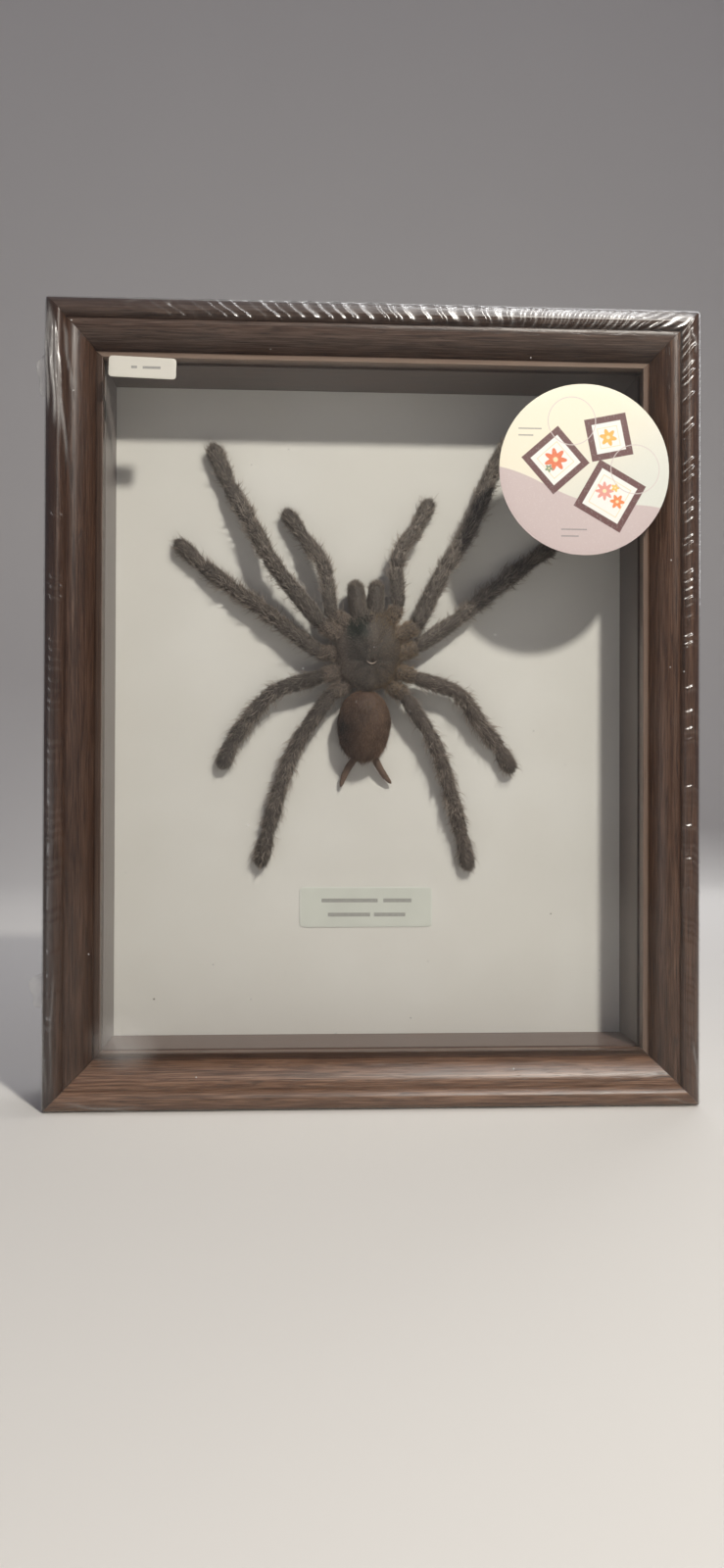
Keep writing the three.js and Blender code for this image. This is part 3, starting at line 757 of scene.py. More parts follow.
def shrinkFilm():
    # rounded rectangles one within another along the section, pushed out by the folds
    section, run = filmSection()
    counts = [filmCounts[side] for side in sides]
    radius = np.clip(run * 0.3, 0.05, 1.3)
    loops = []
    for (inset, depth), r in zip(section, radius):
        halfX, halfZ = caseFit["width"] / 2 - inset, caseFit["height"] / 2 - inset
        flat = roundedLoop(halfX, halfZ, min(r, halfX * 0.5), counts)
        loops.append(np.stack([flat[:, 0], np.full(len(flat), depth + caseFit["front"]), flat[:, 1]], 1))
    grid = np.array(loops) + (0, 0, caseFit["middle"])
    outward = np.cross(np.roll(grid, -1, 1) - np.roll(grid, 1, 1), np.gradient(grid, axis=0))
    outward = unit(outward)
    outward *= np.sign((outward * (grid - (0, 0, caseFit["middle"]))).sum(-1, keepdims=True))
    parts, creases = [], []
    for side, (_, level) in sides.items():
        length = caseFit["width"] if level else caseFit["height"]
        along = np.arange(filmCounts[side]) / filmCounts[side] * length
        height, creased = folds(filmFolds[side], along, run)
        corner = 3 + along * 0.7 + np.sin(along * 0.9)
        rear = bump(run, run[-9], 9) * 0.4
        height = height + rear[:, None] * (0.5 + 0.5 * np.sin(corner * 1.3)) ** 2
        parts.append(height)
        creases.append(creased)
    height, creased = np.concatenate(parts, axis=1), np.concatenate(creases, axis=1)
    height *= smooth(run, -9, -3.0)[:, None] * smooth(run, run[-1] - 60, run[-1] - 75)[:, None]
    form = Form("pucker", "spareAndSheen")
    edge = np.clip(bump(run, 1.5, 5) + bump(run, run[-9], 8), 0, 1)[:, None] + 0 * height
    middle = np.array([0, 0, caseFit["middle"]])
    poles = np.array([middle + (0, section[end, 1] + caseFit["front"], 0) for end in (0, -1)])
    # the creases whiten the film's haze: a painted reflection along each crease
    creaseSheen = np.clip(creased * smooth(run, -9, -5)[:, None] * 3.5, 0, 2.0)
    form.addTube(grid + outward * height[..., None], poles, {"pucker": edge, "spareAndSheen": creaseSheen})
    for settings in ears:
        ear(form, **settings)
    return form.make("shrink_film_skin", filmFinish(), "shrink_film")


print("film")
shrinkFilm()


paperThickness = 0.2
filmStickerBack = caseFit["front"] - 0.85
labelBack = caseFit["boardFace"] - 0.12


def paper(name, look, back, finish, node):
    # one outline drawn in towards its middle over the front, down its edge and over the back
    halfX, halfZ = look["half"]
    counts = (26, 26, 26, 26) if halfX == halfZ else (30, 14, 30, 14)
    outline = roundedLoop(halfX, halfZ, look["radius"], counts)
    shares = np.array([0.08, 0.3, 0.6, 0.85, 0.985, 1.0, 1.0, 0.985, 0.6, 0.08])
    depths = np.array([1, 1, 1, 1, 1, 0.8, 0.2, 0, 0, 0]) * paperThickness
    x, z = (outline[None, :, k] * shares[:, None] for k in (0, 1))
    curl = 0.05 * np.sin(x * 0.12 + z * 0.05) * (depths[:, None] > 0)
    a = math.radians(look["lean"])
    turnedX, turnedZ = x * math.cos(a) + z * math.sin(a), z * math.cos(a) - x * math.sin(a)
    turned = np.stack([turnedX, back - depths[:, None] + curl * 0.5, turnedZ], -1)
    form = Form()
    form.addTube(turned + (look["place"][0], 0, look["place"][1] + caseFit["middle"]))
    return form.make(name, finish, node, 50)


print("papers")
# a rule: its middle, half its length, its width and its ink
priceInk = (0.16, 0.16, 0.16)
priceRules = [(-2.9, 0.1, 1.1, 0.9, priceInk), (3.2, 0.0, 3.2, 0.9, priceInk)]
labelInk = (0.24, 0.23, 0.22)
labelRules = [(-6.4, 2.5, 11.0, 1.5, labelInk), (12.2, 2.5, 5.6, 1.5, labelInk),
              (-6.6, -3.0, 8.3, 1.5, labelInk), (9.2, -3.0, 6.2, 1.5, labelInk)]
priceFinish = paperFinish("priceLabel", papers["price"], (0.63, 0.61, 0.545), (0.60, 0.58, 0.51), priceRules)
labelFinish = paperFinish("labelPaper", papers["label"], (0.675, 0.695, 0.635), (0.76, 0.775, 0.73),
                          labelRules)
paper("round_sticker_paper", papers["round"], filmStickerBack, stickerFinish(), "round_sticker")
paper("price_sticker_paper", papers["price"], filmStickerBack, priceFinish, "price_sticker")
paper("specimen_label_paper", papers["label"], labelBack, labelFinish, "specimen_label")


# the spider's own axes: x right, y to the head, z off the board
spiderPlace = {"right": -1.2, "up": 23.7}
maskNames = ("tone", "warm", "pale", "dim")


def onBoard(points):
    # the board's face is the spider's ground; nothing goes below it
    lift = np.maximum(points[..., 2], 0.05)
    return np.stack([
        points[..., 0] + spiderPlace["right"],
        caseFit["boardFace"] - lift,
        points[..., 1] + caseFit["middle"] + spiderPlace["up"],
    ], -1)


def skinOf(grid, axisward, along=None, **masks):
    # a grid of rings with its outward normals and the way its hairs lie
    downRows = np.gradient(grid, axis=0)
    acrossColumns = np.roll(grid, -1, 1) - np.roll(grid, 1, 1)
    normals = unit(np.cross(acrossColumns, downRows))
    if (normals * (grid - axisward)).sum() < 0:
        normals = -normals
    along = unit(downRows) if along is None else along
    along = unit(along - normals * (along * normals).sum(-1, keepdims=True))
    shape = grid.shape[:2]
    masks = {name: np.broadcast_to(masks.get(name, 0.0), shape) for name in maskNames[1:]}
    return {"grid": grid, "normals": normals, "along": along, **masks}


coats = {
    "velvet": {
        "length": 1.5, "vary": 0.45, "lean": 0.64, "spread": 0.22, "swirl": 0.32,
        "width": 0.125, "bend": 0.0, "tone": (0.25, 1.0),
    },
    "bristle": {
        "length": 3.0, "vary": 0.55, "lean": 0.80, "spread": 0.28, "swirl": 0.5,
        "width": 0.17, "bend": 0.35, "tone": (0.6, 1.5),
    },
    "streak": {
        "length": 3.0, "vary": 0.3, "lean": 0.02, "spread": 0.01, "swirl": 0.06,
        "width": 0.20, "bend": 0.0, "tone": (0.9, 1.0),
    },
}


def growHairs(form, skin, coat, rate=1.0, perArea=None, count=None, **changes):
    # roots fall evenly over the area times the rate; a hair leans from the surface along its lie;
    # a straight one is a thin pyramid, a bent one has a second ring half way
    stripe = coat == "streak"
    coat = {**coats[coat], **changes}
    grid = skin["grid"]
    rows, columns = grid.shape[:2]
    beside = np.roll(grid, -1, 1)
    area = np.linalg.norm(np.cross(beside[1:] - grid[:-1], grid[1:] - beside[:-1]), axis=-1) / 2
    weight = area * np.broadcast_to(rate, (rows, columns))[:-1]
    count = count or int(perArea * weight.sum())
    cell = chance.choice(weight.size, count, p=weight.ravel() / weight.sum())
    row, column = np.divmod(cell, columns)
    nextColumn = (column + 1) % columns
    u, v = chance.random((2, count, 1))

    def at(values):
        values = values.reshape(rows, columns, -1)
        near = values[row, column] * (1 - v) + values[row, nextColumn] * v
        return near * (1 - u) + (values[row + 1, column] * (1 - v) + values[row + 1, nextColumn] * v) * u

    normal, along = unit(at(skin["normals"])), unit(at(skin["along"]))
    lean = np.clip(coat["lean"] + coat["spread"] * chance.normal(size=(count, 1)), 0.0, 1.45)
    root = at(grid)
    swirl = coat["swirl"] * chance.normal(size=(count, 1))
    swirl = swirl + 0.3 * np.sin(root[:, :1] * 0.9) * np.sin(root[:, 1:2] * 0.7)
    lie = along * np.cos(swirl) + np.cross(normal, along) * np.sin(swirl)
    way = lie * np.cos(lean) + normal * np.sin(lean)
    long = coat["length"] * (1 + coat["vary"] * chance.uniform(-1, 1, (count, 1)))
    root = root + normal * (0.18 if stripe else -0.12)
    first = unit(np.cross(way, normal + 0.01))
    second = np.cross(way, first)
    ring = [first * math.cos(k * turn / 3) + second * math.sin(k * turn / 3) for k in range(3)]
    half = coat["width"] / 2
    levels = [(root, half)]
    if coat["bend"]:
        levels.append((root + way * long * 0.5, half * 0.7))
    tip = root + (way + (lie - way) * coat["bend"]) * long
    points = np.stack([centre + side * size for centre, size in levels for side in ring] + [tip], 1)
    triangles = [(0, 2, 1)]
    for k in range(3):
        after = (k + 1) % 3
        if coat["bend"]:
            triangles += [(k, after, k + 3), (after, after + 3, k + 3), (k + 3, after + 3, 6)]
        else:
            triangles.append((k, after, 3))
    each = points.shape[1]
    faces = (np.array(triangles)[None] + np.arange(count)[:, None, None] * each).reshape(-1, 3)
    low, high = coat["tone"]
    own = chance.uniform(0.35, 1.0, (count, 1))
    share = np.linspace(0, 1, len(levels) + 1)
    tones = [np.repeat(low + (high - low) * t * own, 3, 1) for t in share[:-1]]
    tone = np.concatenate(tones + [low + (high - low) * own], 1)
    masks = {"tone": tone.ravel()}
    for name in maskNames[1:]:
        masks[name] = np.repeat(np.clip(at(skin[name]) * chance.uniform(0.4, 1.3, (count, 1)), 0, 1),
                                each, 1).ravel()
    if stripe:
        masks["pale"] = np.full(count * each, 0.6)
    form.add(onBoard(points.reshape(-1, 3)), triangles=faces, masks=masks)


def addSkin(form, skin, tone, poles=None, **masks):
    poles = (skin["grid"][0].mean(0), skin["grid"][-1].mean(0)) if poles is None else poles
    masks = {"tone": tone, "warm": skin["warm"] * 0.5, "pale": skin["pale"] * 0.5, "dim": skin["dim"],
             **masks}
    form.addTube(onBoard(skin["grid"]), onBoard(np.array(poles)), masks)


segmentLengths = {
    "palp": [7, 14.6, 6.5, 12.2, 13.3],
    "leg_1": [9.1, 24.3, 8.1, 16.2, 17.1, 16.8],
    "leg_2": [8.1, 20.4, 7.5, 13.9, 14.6, 12.7],
    "leg_3": [7.6, 17.2, 7, 10.8, 9.3, 10.4],
    "leg_4": [6, 17.1, 9.5, 13.5, 18.5, 13.4],
}
girths = {"palp": 4.8, "leg_1": 5.4, "leg_2": 5.1, "leg_3": 5.1, "leg_4": 4.9}
segmentGirths = [1.12, 1.08, 1.05, 1.04, 1.04]
footGirth = 1.07
coxaProfile = np.array([(-1.0, 0.85), (0, 0.96), (0.3, 1), (0.7, 1), (0.88, 0.94), (0.97, 0.84), (1.06, 0)])
segmentProfile = np.array([(-0.06, 0), (0.02, 0.81), (0.13, 0.94), (0.28, 1.01), (0.6, 1), (0.78, 0.95),
                           (0.9, 0.93), (0.98, 0.84), (1.06, 0)])
padProfile = np.array([(-0.06, 0), (0.03, 0.76), (0.4, 0.96), (0.8, 1), (0.93, 0.88), (1.0, 0.66),
                       (1.045, 0.34), (1.06, 0)])

# hip, bearing of each segment (0 right, 90 to the head) and height of each joint
limbs = {
    "pedipalp_left": ("palp", (-7.7, 9.9, 9.6), (160, 97, 105, 126, 123), (10, 10.8, 10, 5.6, 3)),
    "pedipalp_right": ("palp", (7.9, 9.9, 9.6), (62, 93, 79, 55, 63), (10.2, 11.2, 11, 6.8, 3.2)),
    "leg_left_1": ("leg_1", (-9.9, 4.5, 9.6), (152, 130, 125, 117, 119, 113), (10.6, 12.2, 12.2, 7.6, 4.4, 3)),
    "leg_right_1": ("leg_1", (10.2, 4.5, 9.6), (28, 64, 55, 62, 69, 61), (9.4, 10, 9.2, 6.6, 4.4, 3)),
    "leg_left_2": ("leg_2", (-10.7, -1.9, 8.8), (177, 143, 143, 145, 142, 138), (7.8, 6.2, 5.6, 4.3, 3.4, 3)),
    "leg_right_2": ("leg_2", (10.9, -2, 8.8), (20, 35, 40, 39, 38, 36), (7.4, 5.8, 5.2, 4.2, 3.4, 3)),
    "leg_left_3": ("leg_3", (-10.5, -8.4, 8.8), (197, 196, 217, 230, 235, 247), (8, 7, 6, 4.5, 3.5, 3)),
    "leg_right_3": ("leg_3", (10.7, -8.4, 8.8), (342, 342, 312, 304, 311, 300), (8, 7, 6.2, 4.8, 3.7, 3)),
    "leg_left_4": ("leg_4", (-8.9, -14.1, 8.4), (209, 235, 239, 250, 255, 257), (7.8, 6.8, 5.8, 4.6, 3.6, 3)),
    "leg_right_4": ("leg_4", (9.1, -14.1, 8.4), (323, 304, 296, 288, 285, 283), (7.8, 7, 6.2, 5, 3.8, 3)),
}
limbLook = {
    "core": 0.91, "rows": 176, "columns": 26, "perArea": 13,
    "bristles": 1150,  # on a limb 90 long
    "stripeCounts": ((1, 1), (2, 5), (3, 2)),  # a segment and its pale bristles
    # some legs made lighter all along: a painted sheen
    "paleSheen": {"leg_right_3": 0.24, "leg_right_4": 0.24, "leg_left_4": 0.10, "leg_left_2": 0.06},
}


def limbJoints(kind, hip, bearings, heights):
    # each height fixes how much of a segment's length is left for its run along the board
    joints = [np.array(hip, float)]
    for length, bearing, height in zip(segmentLengths[kind], bearings, heights):
        rise = height - joints[-1][2]
        run = math.sqrt(length**2 - rise**2)
        a = math.radians(bearing)
        joints.append(joints[-1] + (run * math.cos(a), run * math.sin(a), rise))
    return np.array(joints)


def limbSkin(name):
    # rings round a softened line through the joints; a ring's size is the largest that any
    # segment's profile asks for there
    kind, *posture = limbs[name]
    joints = limbJoints(kind, *posture)
    lengths = np.array(segmentLengths[kind], float)
    ends = np.concatenate([[0], np.cumsum(lengths)])
    joints[0, 2] -= 1.6  # the hip sits under the thorax's rim
    before = joints[0] * (0.62, 0.72, 1) - (0, 0, 0.8)
    back = np.linalg.norm(joints[0] - before)
    beyond = joints[-1] + unit(joints[-1] - joints[-2]) * 4
    known = np.concatenate([[before], joints, [beyond]])
    stations = np.concatenate([[-back], ends, [ends[-1] + 4]])
    t = np.linspace(0, 1, limbLook["rows"])
    t = 0.65 * t + 0.35 * (0.5 - 0.5 * np.cos(math.pi * t))
    s = -0.8 * back + t * (ends[-1] + 0.8 * back + 0.055 * lengths[-1])
    near = s[:, None] + np.linspace(-1.7, 1.7, 9)
    centre = np.stack([np.interp(near, stations, known[:, k]).mean(1) for k in range(3)], 1)
    fine = s[:, None] + np.linspace(-0.35, 0.35, 5)
    size = np.zeros_like(fine)
    for k, length in enumerate(lengths):
        last = k == len(lengths) - 1
        profile = padProfile if last else segmentProfile if k else coxaProfile
        share = (fine - ends[k]) / length
        own = np.interp(share, profile[:, 0], profile[:, 1], 0, 0)
        size = np.maximum(size, own * (footGirth if last else segmentGirths[k]))
    size = size.mean(1) * girths[kind] / 2 * limbLook["core"]
    around = np.arange(limbLook["columns"]) / limbLook["columns"] * turn
    ahead = unit(np.gradient(centre, axis=0))
    side = unit(np.cross(ahead, (0, 0, 1)))
    lift = np.cross(side, ahead)
    foot = smooth(s, ends[-3], ends[-2])
    dent = (1 + 0.03 * np.sin(s * 1.9)[:, None] * np.cos(around * 3)
            + 0.025 * np.sin(s[:, None] * 0.8 + around * 2))
    wide = (size * (1 + 0.05 * foot))[:, None] * dent
    tall = (size * (1 - 0.10 * foot))[:, None] * dent
    across, up = (wide * np.cos(around))[..., None], (tall * np.sin(around))[..., None]
    grid = centre[:, None] + side[:, None] * across + lift[:, None] * up
    return grid, centre, s, ends, around


def makeLimb(name):
    grid, centre, s, ends, around = limbSkin(name)
    right = "right" in name
    coxa = smooth(s, ends[1] + 1.5, ends[1] - 3)[:, None] + 0 * around
    joint = sum(bump(s, end, 0.7) for end in ends[1:-1])[:, None] + 0 * around
    back = smooth(-np.sin(around), -0.2, 0.8)
    warm = coxa * (0.65 if right else 0.25) + 0.12 * back
    # the pale mask also carries the painted sheen of some legs
    pale = coxa * (0.08 if right else 0.34) + 0.14 * joint + limbLook["paleSheen"].get(name, 0) * (1 - coxa)
    dim = (0.25 * smooth(s, ends[-1] - 4, ends[-1])[:, None] + 0.45 * bump(s, ends[1] + 0.6, 0.8)[:, None]
           + 0 * around)
    skin = skinOf(grid, centre[:, None], warm=np.clip(warm, 0, 1), pale=pale, dim=dim)
    form = Form(*maskNames)
    addSkin(form, skin, 0.12)
    top = smooth(np.sin(around), -0.95, 0.1) * 0.75 + 0.25
    rate = top * (1 - 0.5 * joint)
    foot = smooth(s, ends[-3], ends[-2])[:, None] + 0 * around
    perArea = limbLook["perArea"]
    growHairs(form, skin, "velvet", rate * (1 - 0.45 * foot), perArea)
    growHairs(form, skin, "velvet", rate * foot + 1e-6, perArea * 0.62, length=1.4, lean=0.80)
    tufts = 0.35 + smooth(np.sin(s[:, None] * 0.9 + around) * np.sin(s[:, None] * 0.37 + 2 * around + 1),
                          -0.1, 0.6)
    outer = ((0.15 + smooth(s, ends[1], ends[-3])[:, None]) * (0.4 + np.abs(np.cos(around)))
             * (1 - 0.6 * foot) * tufts)
    bristles = int(limbLook["bristles"] * ends[-1] / 90)
    growHairs(form, skin, "bristle", outer + 0.05, count=bristles)
    growHairs(form, skin, "bristle", outer + 0.02, count=bristles // 3, length=4.4, width=0.22, lean=0.95)
    growHairs(form, skin, "bristle", coxa * top + 1e-6, count=340, length=2.0, lean=0.75, swirl=1.3)
    stripes = sum(bump(around, math.pi / 2 + lean, 0.10) for lean in (-0.42, 0.42))
    for segment, count in limbLook["stripeCounts"]:
        start, end = ends[segment], ends[segment + 1]
        span = smooth(s, start + 0.8, start + 2) * smooth(s, end - 3, end - 4.5)
        growHairs(form, skin, "streak", span[:, None] * stripes + 1e-9, count=count)
    form.make(name + "_hair", hairs["dark"], name)


print("limbs")
for name in limbs:
    makeLimb(name)


thoraxLook = {
    "half": (12.2, 15.5),
    "middle": (0, -0.2, 8.9),
    "top": 4.7,
    "under": 5.9,
    "fovea": (1.0, -5.2),
    "grooves": (8, -28, -68, 172, 208, 248),  # bearings from the fovea
    "perArea": 15,
}


def thoraxSkin():
    # rings from the top's pole to the underside's; the top's height carries the raised head,
    # the eye mound, the neck groove and grooves that run out from the fovea
    look = thoraxLook
    down = np.linspace(0, math.pi, 62)[1:-1][:, None]
    around = np.arange(100)[None, :] / 100 * turn
    ahead = np.clip(np.sin(around), 0, 1)
    scallop = 1 + 0.014 * np.cos(around * 8 + 0.6) - 0.02 * bump(np.sin(around), 1, 0.1)
    outX = look["half"][0] * np.cos(around) * (1 - 0.17 * ahead**2) * scallop
    outY = look["half"][1] * np.sin(around) * scallop
    x, y = outX * np.sin(down), outY * np.sin(down) + look["middle"][1]
    foveaX, foveaY = look["fovea"]
    apart = np.hypot(x - foveaX, y - foveaY)
    top = look["top"] + 1.25 * np.exp(-((x / 5.2) ** 4) - (((y - 6.5) / 8.2) ** 4))
    top = top + 0.9 * np.exp(-((x / 1.7) ** 2) - (((y - 11.3) / 1.4) ** 2))
    neck = np.abs(np.abs(x - foveaX * 0.5) - 0.62 * (y + 4.0))
    top = top - 0.30 * bump(neck, 0, 1.0) * smooth(y, -4, 0) * smooth(y, 11, 7)
    for bearing in look["grooves"]:
        a = math.radians(bearing)
        off = -(x - foveaX) * math.sin(a) + (y - foveaY) * math.cos(a)
        ahead = (x - foveaX) * math.cos(a) + (y - foveaY) * math.sin(a)
        top = top - 0.28 * bump(off, 0, 0.9) * smooth(ahead, 1.0, 3.0) * smooth(ahead, 11, 8)
    top = top - 0.9 * bump(apart, 0, 1.3)
    upper = np.cos(down)
    rise = np.where(upper > 0, top * np.abs(upper) ** 0.8, -look["under"] * np.abs(upper))
    grid = np.stack([x + 0 * rise, y + 0 * rise, look["middle"][2] + rise], -1)
    # golden and lighter towards the right, darker on the left half, along the grooves and in the fovea: partly
    # the hair's own colour, partly painted light and painted shade
    warm = smooth(x, 0.0, 1.2) * 0.3 + smooth(x, 2.5, 9.5) * 0.55
    warm = warm + 0.6 * np.exp(-(((x - 6) / 4) ** 2) - (((y + 11) / 3.5) ** 2))
    warm = warm + 0.3 * np.exp(-(((x - 3.2) / 2.2) ** 2) - (((y - 9) / 4) ** 2)) + 0.19
    pale = smooth(x, -7.0, -11.0) * 0.40 + 0.22 * np.exp(-(((x + 7) / 3) ** 2) - (((y + 9) / 4) ** 2))
    pale = pale + 0.12 * np.exp(-(((x - 1.8) / 1.1) ** 2)) * smooth(y, -3, 1)
    along = np.stack([(x - foveaX) * 0.8, y - foveaY - 3.5, 0 * rise], -1)
    dim = 0.30 * smooth(x, 0.2, -1.0) * smooth(x, -9.5, -6) * smooth(y, -9, -2) + 0.4 * bump(apart, 0, 1.3)
    for bearing in look["grooves"]:
        a = math.radians(bearing)
        off = -(x - foveaX) * math.sin(a) + (y - foveaY) * math.cos(a)
        ahead = (x - foveaX) * math.cos(a) + (y - foveaY) * math.sin(a)
        dim = dim + 0.30 * bump(off, 0, 0.8) * smooth(ahead, 1.0, 3.0) * smooth(ahead, 11, 8)
    skin = skinOf(grid, np.array(look["middle"]), unit(along) + (0, -0.15, 0.02),
                  warm=np.clip(warm, 0, 1), pale=pale,
                  dim=np.clip(dim + 0.20 - 0.12 * smooth(y, 0, -9), 0, 0.8))
    bald = smooth(x, 0.5, -0.3) * np.exp(-(((x + 4.3) / 4.3) ** 4) - (((y - 7.6) / 4.3) ** 4))
    return skin, x + 0 * rise, y + 0 * rise, bald, upper + 0 * rise


def makeThorax():
    skin, x, y, bald, upper = thoraxSkin()
    form = Form(*maskNames, "bare")
    middle = np.array(thoraxLook["middle"])
    poles = [middle + (0, 0, thoraxLook["top"] + 0.35), middle - (0, 0, thoraxLook["under"])]
    addSkin(form, skin, 0.12, poles, bare=bald)
    above = smooth(upper, -0.9, 0.1) * 0.8 + 0.2
    growHairs(form, skin, "velvet", above * (1 - 0.93 * bald), thoraxLook["perArea"],
              length=0.95, lean=0.38, swirl=0.5)
    rim = bump(upper, 0.1, 0.3)
    growHairs(form, skin, "velvet", rim * (0.4 + smooth(y, 0, -12)), count=2600,
              length=1.9, lean=0.55, swirl=0.6)
    growHairs(form, skin, "bristle", smooth(upper, 0.1, 0.6) * smooth(y, 6, 11) + 0.03, count=260,
              length=2.0, lean=0.8)
    # the fovea's pale lip: a thin roll bent into a U
    t = np.linspace(-1, 1, 23)
    foveaX, foveaY = thoraxLook["fovea"]
    line = np.stack([foveaX + 2.0 * t, foveaY - 1.0 + 1.2 * t**2, middle[2] + 4.8 + 0.2 * t**2], 1)
    a = np.arange(8) / 8 * turn
    thick = 0.24 * np.sqrt(np.clip(1 - t**2 * 0.97, 0, 1))[:, None]
    roll = line[:, None] + np.stack([0 * thick * a, thick * np.cos(a), thick * np.sin(a)], -1)
    form.addTube(onBoard(roll), onBoard(line[[0, -1]]), {"tone": 1.0, "warm": 0.0, "pale": 0.95})
    # eight eyes in two rows on their mound
    for ex, ey, radius in ((-0.45, 11.5, 0.32), (0.45, 11.5, 0.32), (-1.15, 11.8, 0.34), (1.15, 11.8, 0.34),
                           (-1.15, 10.9, 0.26), (1.15, 10.9, 0.26), (-0.55, 10.7, 0.2), (0.55, 10.7, 0.2)):
        down, b = np.linspace(0, math.pi, 9)[1:-1][:, None], turn * np.arange(12) / 12
        ball = np.stack([np.sin(down) * np.cos(b), np.sin(down) * np.sin(b), np.cos(down) + 0 * b], -1)
        centre = np.array([ex, ey, middle[2] + 6.45 - 0.35 * abs(ex)])
        form.addTube(onBoard(centre + ball * radius), masks={"tone": 0.0, "warm": 0.0, "pale": 0.0})
    form.make("cephalothorax_hair", hairs["dark"], "cephalothorax")


def spindle(start, end, radius, profile, rows, columns, tall=1.0, bow=0.0):
    # rings of a smoothed profile of radii along a line, bowed by half a sine, made taller or flatter
    start, end = np.array(start, float), np.array(end, float)
    profile = np.array(profile, float)
    t = np.linspace(0, 1, rows)
    t = 0.5 * t + 0.5 * (0.5 - 0.5 * np.cos(math.pi * t))
    low, high = profile[0, 0], profile[-1, 0]
    share = low + 0.004 + (high - low - 0.008) * t
    near = share[:, None] + np.linspace(-0.03, 0.03, 7)
    size = radius * np.interp(near, profile[:, 0], profile[:, 1], 0, 0).mean(1)
    ahead = unit(end - start)
    side = unit(np.cross(ahead, (0, 0, 1)))
    lift = np.cross(side, ahead)
    centre = (start + (end - start) * share[:, None]
              + side * bow * np.sin(math.pi * np.clip(share, 0, 1))[:, None])
    a = np.arange(columns) / columns * turn
    ring = side * np.cos(a)[:, None] + lift * np.sin(a)[:, None] * tall
    return centre[:, None] + ring[None] * size[:, None, None], centre, share, a


abdomenLook = {
    "front": (-1.2, -17.2, 7.8),
    "back": (-1.9, -42.9, 7.0),
    "radius": 10.0,
    "profile": [(-0.05, 0), (-0.04, 0.28), (0.0, 0.44), (0.05, 0.60), (0.13, 0.78), (0.26, 0.93), (0.42, 1),
                (0.60, 0.96), (0.77, 0.82), (0.90, 0.62), (0.97, 0.38), (1, 0)],
    "flattening": 0.69,
    "perArea": 14,
}


def makeAbdomen():
    # an egg with dried folds: shallow hollows along its back and creases round its end
    look = abdomenLook
    grid, centre, share, a = spindle(look["front"], look["back"], look["radius"], look["profile"], 84, 64,
                                     look["flattening"])
    axis = centre[:, None]
    s, around = share[:, None], a[None, :]
    hollow = (0.06 * np.sin(around * 5 + 1.2) * smooth(s, 0.35, 0.95)
              + 0.012 * np.sin(s * 17 + 2 * np.sin(around * 3)))
    ridge = 0.03 * bump(around, math.pi / 2, 0.25) * smooth(s, 0.25, 0.6)
    ridge = ridge - 0.03 * bump(around, math.pi / 2 + 0.55, 0.3) * smooth(s, 0.3, 0.7)
    grid = axis + (grid - axis) * (1 + hollow + ridge)[..., None]
    x, y = grid[..., 0], grid[..., 1]
    # redder and lighter on the upper right and top, darker towards the lower left, on the flanks, in the
    # hollows and at the end: partly the hair's own colour, partly painted light and painted shade
    warm = (0.45 * np.exp(-(((x - 2.5) / 6.5) ** 2) - (((y + 25) / 8.5) ** 2))
            * smooth(np.sin(around), -0.2, 0.7))
    pale = 0.20 * np.exp(-(((x - 3.0) / 4.5) ** 2) - (((y + 24) / 7) ** 2))
    dim = 0.6 * smooth(x + 1.9 - 0.45 * (y + 32), 5, -9) * smooth(y, -18, -30) + 0.35 * smooth(s, 0.8, 1.0)
    dim = dim + 0.35 * smooth(np.abs(x + 1.6), 6.5, 10)
    dim = dim + 0.2 * smooth(np.sin(around * 5 + 1.2), 0, -1) * smooth(s, 0.3, 0.8)
    skin = skinOf(grid, axis, warm=warm, pale=pale, dim=np.clip(dim, 0, 0.85))
    form = Form(*maskNames)
    addSkin(form, skin, 0.14)
    above = smooth(np.sin(around), -0.9, 0.1) * 0.75 + 0.25 + 0 * s
    growHairs(form, skin, "velvet", above, look["perArea"], length=1.25, lean=0.42, swirl=0.28)
    growHairs(form, skin, "velvet", above * smooth(s, 0.35, 1.0) + 0.05, count=2200,
              length=2.6, lean=0.6, width=0.075)
    growHairs(form, skin, "bristle", smooth(s, 0.3, 1.0) + 0.15, count=420,
              length=3.2, width=0.065, lean=0.75)
    form.make("abdomen_hair", hairs["brown"], "abdomen")


jaws = {
    "left": {"width": 6.7, "base": (-3.7, 11.7, 8.6), "front": (-5.2, 25.2, 7.8)},
    "right": {"width": 6.1, "base": (2.4, 11.7, 8.6), "front": (3.2, 25.4, 7.8)},
}
jawProfile = [(-0.06, 0), (-0.04, 0.7), (0.1, 0.86), (0.35, 0.97), (0.6, 1), (0.76, 0.94), (0.88, 0.78),
              (0.96, 0.52), (1, 0)]


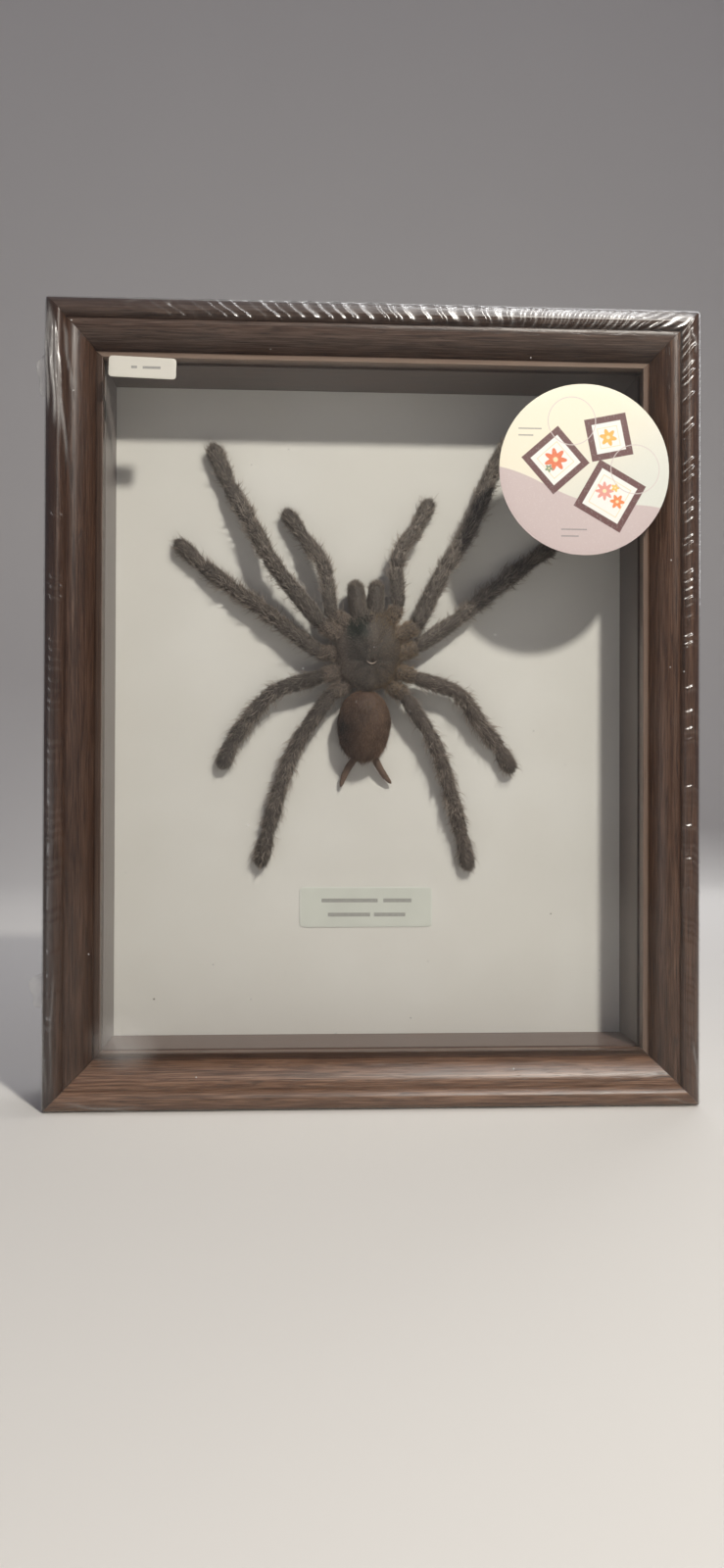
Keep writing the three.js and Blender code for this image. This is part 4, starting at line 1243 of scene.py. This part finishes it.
def makeJaw(side):
    look = jaws[side]
    grid, centre, share, a = spindle(look["base"], look["front"], look["width"] / 2, jawProfile, 46, 32, 1.35)
    skin = skinOf(grid, centre[:, None], warm=0.15, pale=0.05, dim=0.25)
    form = Form(*maskNames)
    addSkin(form, skin, 0.12)
    growHairs(form, skin, "velvet", perArea=15, length=1.0, lean=0.40)
    tuft = smooth(share, 0.7, 1.0)[:, None] + 0 * a
    growHairs(form, skin, "velvet", tuft + 0.01, count=900, length=1.9, lean=0.75)
    growHairs(form, skin, "bristle", tuft + 0.1, count=60, length=2.4)
    frontX, frontY, _ = look["front"]
    t = np.linspace(0, 1, 20)
    bow = np.stack([frontX * (1 - 0.2 * t), frontY - 3 - 6 * t, 4.6 - 2.6 * np.sin(t * 2.2) + t * 1.6], 1)
    b = np.arange(12) / 12 * turn
    thick = (1.15 * (1 - t) ** 0.6 + 0.06)[:, None]
    fang = bow[:, None] + np.stack([thick * np.cos(b), 0 * thick * b, thick * np.sin(b)], -1)
    form.addTube(onBoard(fang), onBoard(bow[[0, -1]]), {"tone": 0.0, "warm": 0.0, "pale": 0.0})
    form.make(f"chelicera_{side}_hair", hairs["dark"], "chelicera_" + side)


spinnerets = {
    "left": ((-5.2, -42.2, 4.6), (-10.4, -52.9, 2.1)),
    "right": ((3.0, -42.2, 4.6), (9.3, -51.5, 2.1)),
}
spinneretProfile = [(-0.05, 0), (-0.03, 0.9), (0.12, 1), (0.36, 0.98), (0.42, 0.84), (0.5, 0.94),
                    (0.68, 0.86), (0.74, 0.70), (0.84, 0.66), (0.95, 0.42), (1, 0)]


def makeSpinneret(side):
    start, end = spinnerets[side]
    bow = 0.7 if side == "left" else 0.5
    grid, centre, share, a = spindle(start, end, 1.35, spinneretProfile, 44, 18, bow=bow)
    skin = skinOf(grid, centre[:, None], warm=0.0, pale=0.5, dim=0.38)
    form = Form(*maskNames)
    addSkin(form, skin, 0.4)
    growHairs(form, skin, "velvet", perArea=13, length=0.6, lean=0.45, width=0.08)
    growHairs(form, skin, "bristle", count=40, length=1.6, width=0.06)
    form.make(f"spinneret_{side}_hair", hairs["brown"], "spinneret_" + side)


print("body")
makeThorax()
makeAbdomen()
for side in ("left", "right"):
    makeJaw(side)
    makeSpinneret(side)


# the strips are seen in gloss alone
stageLook = {
    "floor": (0.78, 0.765, 0.735),
    "world": (0.180, 0.173, 0.199),
    "key": {"place": (0.279, -0.723, 0.728), "energy": 7.75, "color": (1.0, 0.955, 0.872), "shape": "DISK",
            "size": 0.066},
    "rear": {"place": (0.35, 0.9, 0.75), "energy": 5.0, "size": 0.9},
    "strip": {"place": (0.232, -0.26, 0.96), "towards": (0, 0, 0.2), "spin": -31, "energy": 10.0,
              "shape": "RECTANGLE", "size": 0.22, "size_y": 1.08},
    "sideStrip": {"place": (-0.86, -0.42, 0.06), "towards": (-0.113, 0, 0.06), "energy": 0.9,
                  "shape": "RECTANGLE", "size": 0.5, "size_y": 0.10},
}
cameraFit = {"place": (-0.026843, -0.439959, 0.112419), "turn": (90.525, -0.169, -2.975), "lens": 27.0}


def sweep():
    # a floor that bends up into a wall far behind, as one sheet
    floor = [(-2.5, 0), (1.0, 0)]
    bend = [(1.0 + 0.6 * math.sin(a), 0.6 - 0.6 * math.cos(a)) for a in np.linspace(0.1, math.pi / 2, 12)]
    profile = np.array(floor + bend + [(1.6, 3.0)])
    points = np.stack(np.broadcast_arrays([-3.0, 3.0], profile[:, :1], profile[:, 1:]), -1)
    faces = [(2 * k, 2 * k + 1, 2 * k + 3, 2 * k + 2) for k in range(len(profile) - 1)]
    mesh = bpy.data.meshes.new("studioSweep")
    mesh.from_pydata(points.reshape(-1, 3).tolist(), [], faces)
    mesh.polygons.foreach_set("use_smooth", np.ones(len(faces), bool))
    finish = Finish("paleSweep")
    cloud = finish.noise(3, 2)
    tint = stageLook["floor"]
    color = finish.mix(tint, tuple(v * 0.97 for v in tint), cloud)
    mesh.materials.append(finish.shown(finish.solid(color=color, roughness=0.85)))
    piece = bpy.data.objects.new("studioSweep", mesh)
    scene.collection.objects.link(piece)


def light(name, place, towards=(0, 0, 0.1445), spin=0.0, **settings):
    # an area light that faces a point, the frame's middle at first, spun about its own axis
    lamp = bpy.data.lights.new(name, "AREA")
    for key, value in settings.items():
        setattr(lamp, key, value)
    made = bpy.data.objects.new(name, lamp)
    scene.collection.objects.link(made)
    made.location = place
    aim = (Vector(place) - Vector(towards)).to_track_quat("Z", "Y")
    made.rotation_euler = (aim @ Quaternion((0, 0, 1), math.radians(spin))).to_euler()
    return made


print("stage")
sweep()
light("keyLight", **stageLook["key"])
light("rearLight", **stageLook["rear"])
for name in ("strip", "sideStrip"):
    light(name + "Light", **stageLook[name]).visible_diffuse = False
world = bpy.data.worlds.new("studioWorld")
world.use_nodes = True
world.node_tree.nodes["Background"].inputs["Color"].default_value = (*stageLook["world"], 1)
scene.world = world

lens = bpy.data.cameras.new("camera")
lens.lens, lens.sensor_width = cameraFit["lens"], 36.0
lens.clip_start, lens.clip_end = 0.01, 20
camera = bpy.data.objects.new("camera", lens)
scene.collection.objects.link(camera)
camera.location = cameraFit["place"]
camera.rotation_euler = [math.radians(v) for v in cameraFit["turn"]]
scene.camera = camera

print("done")
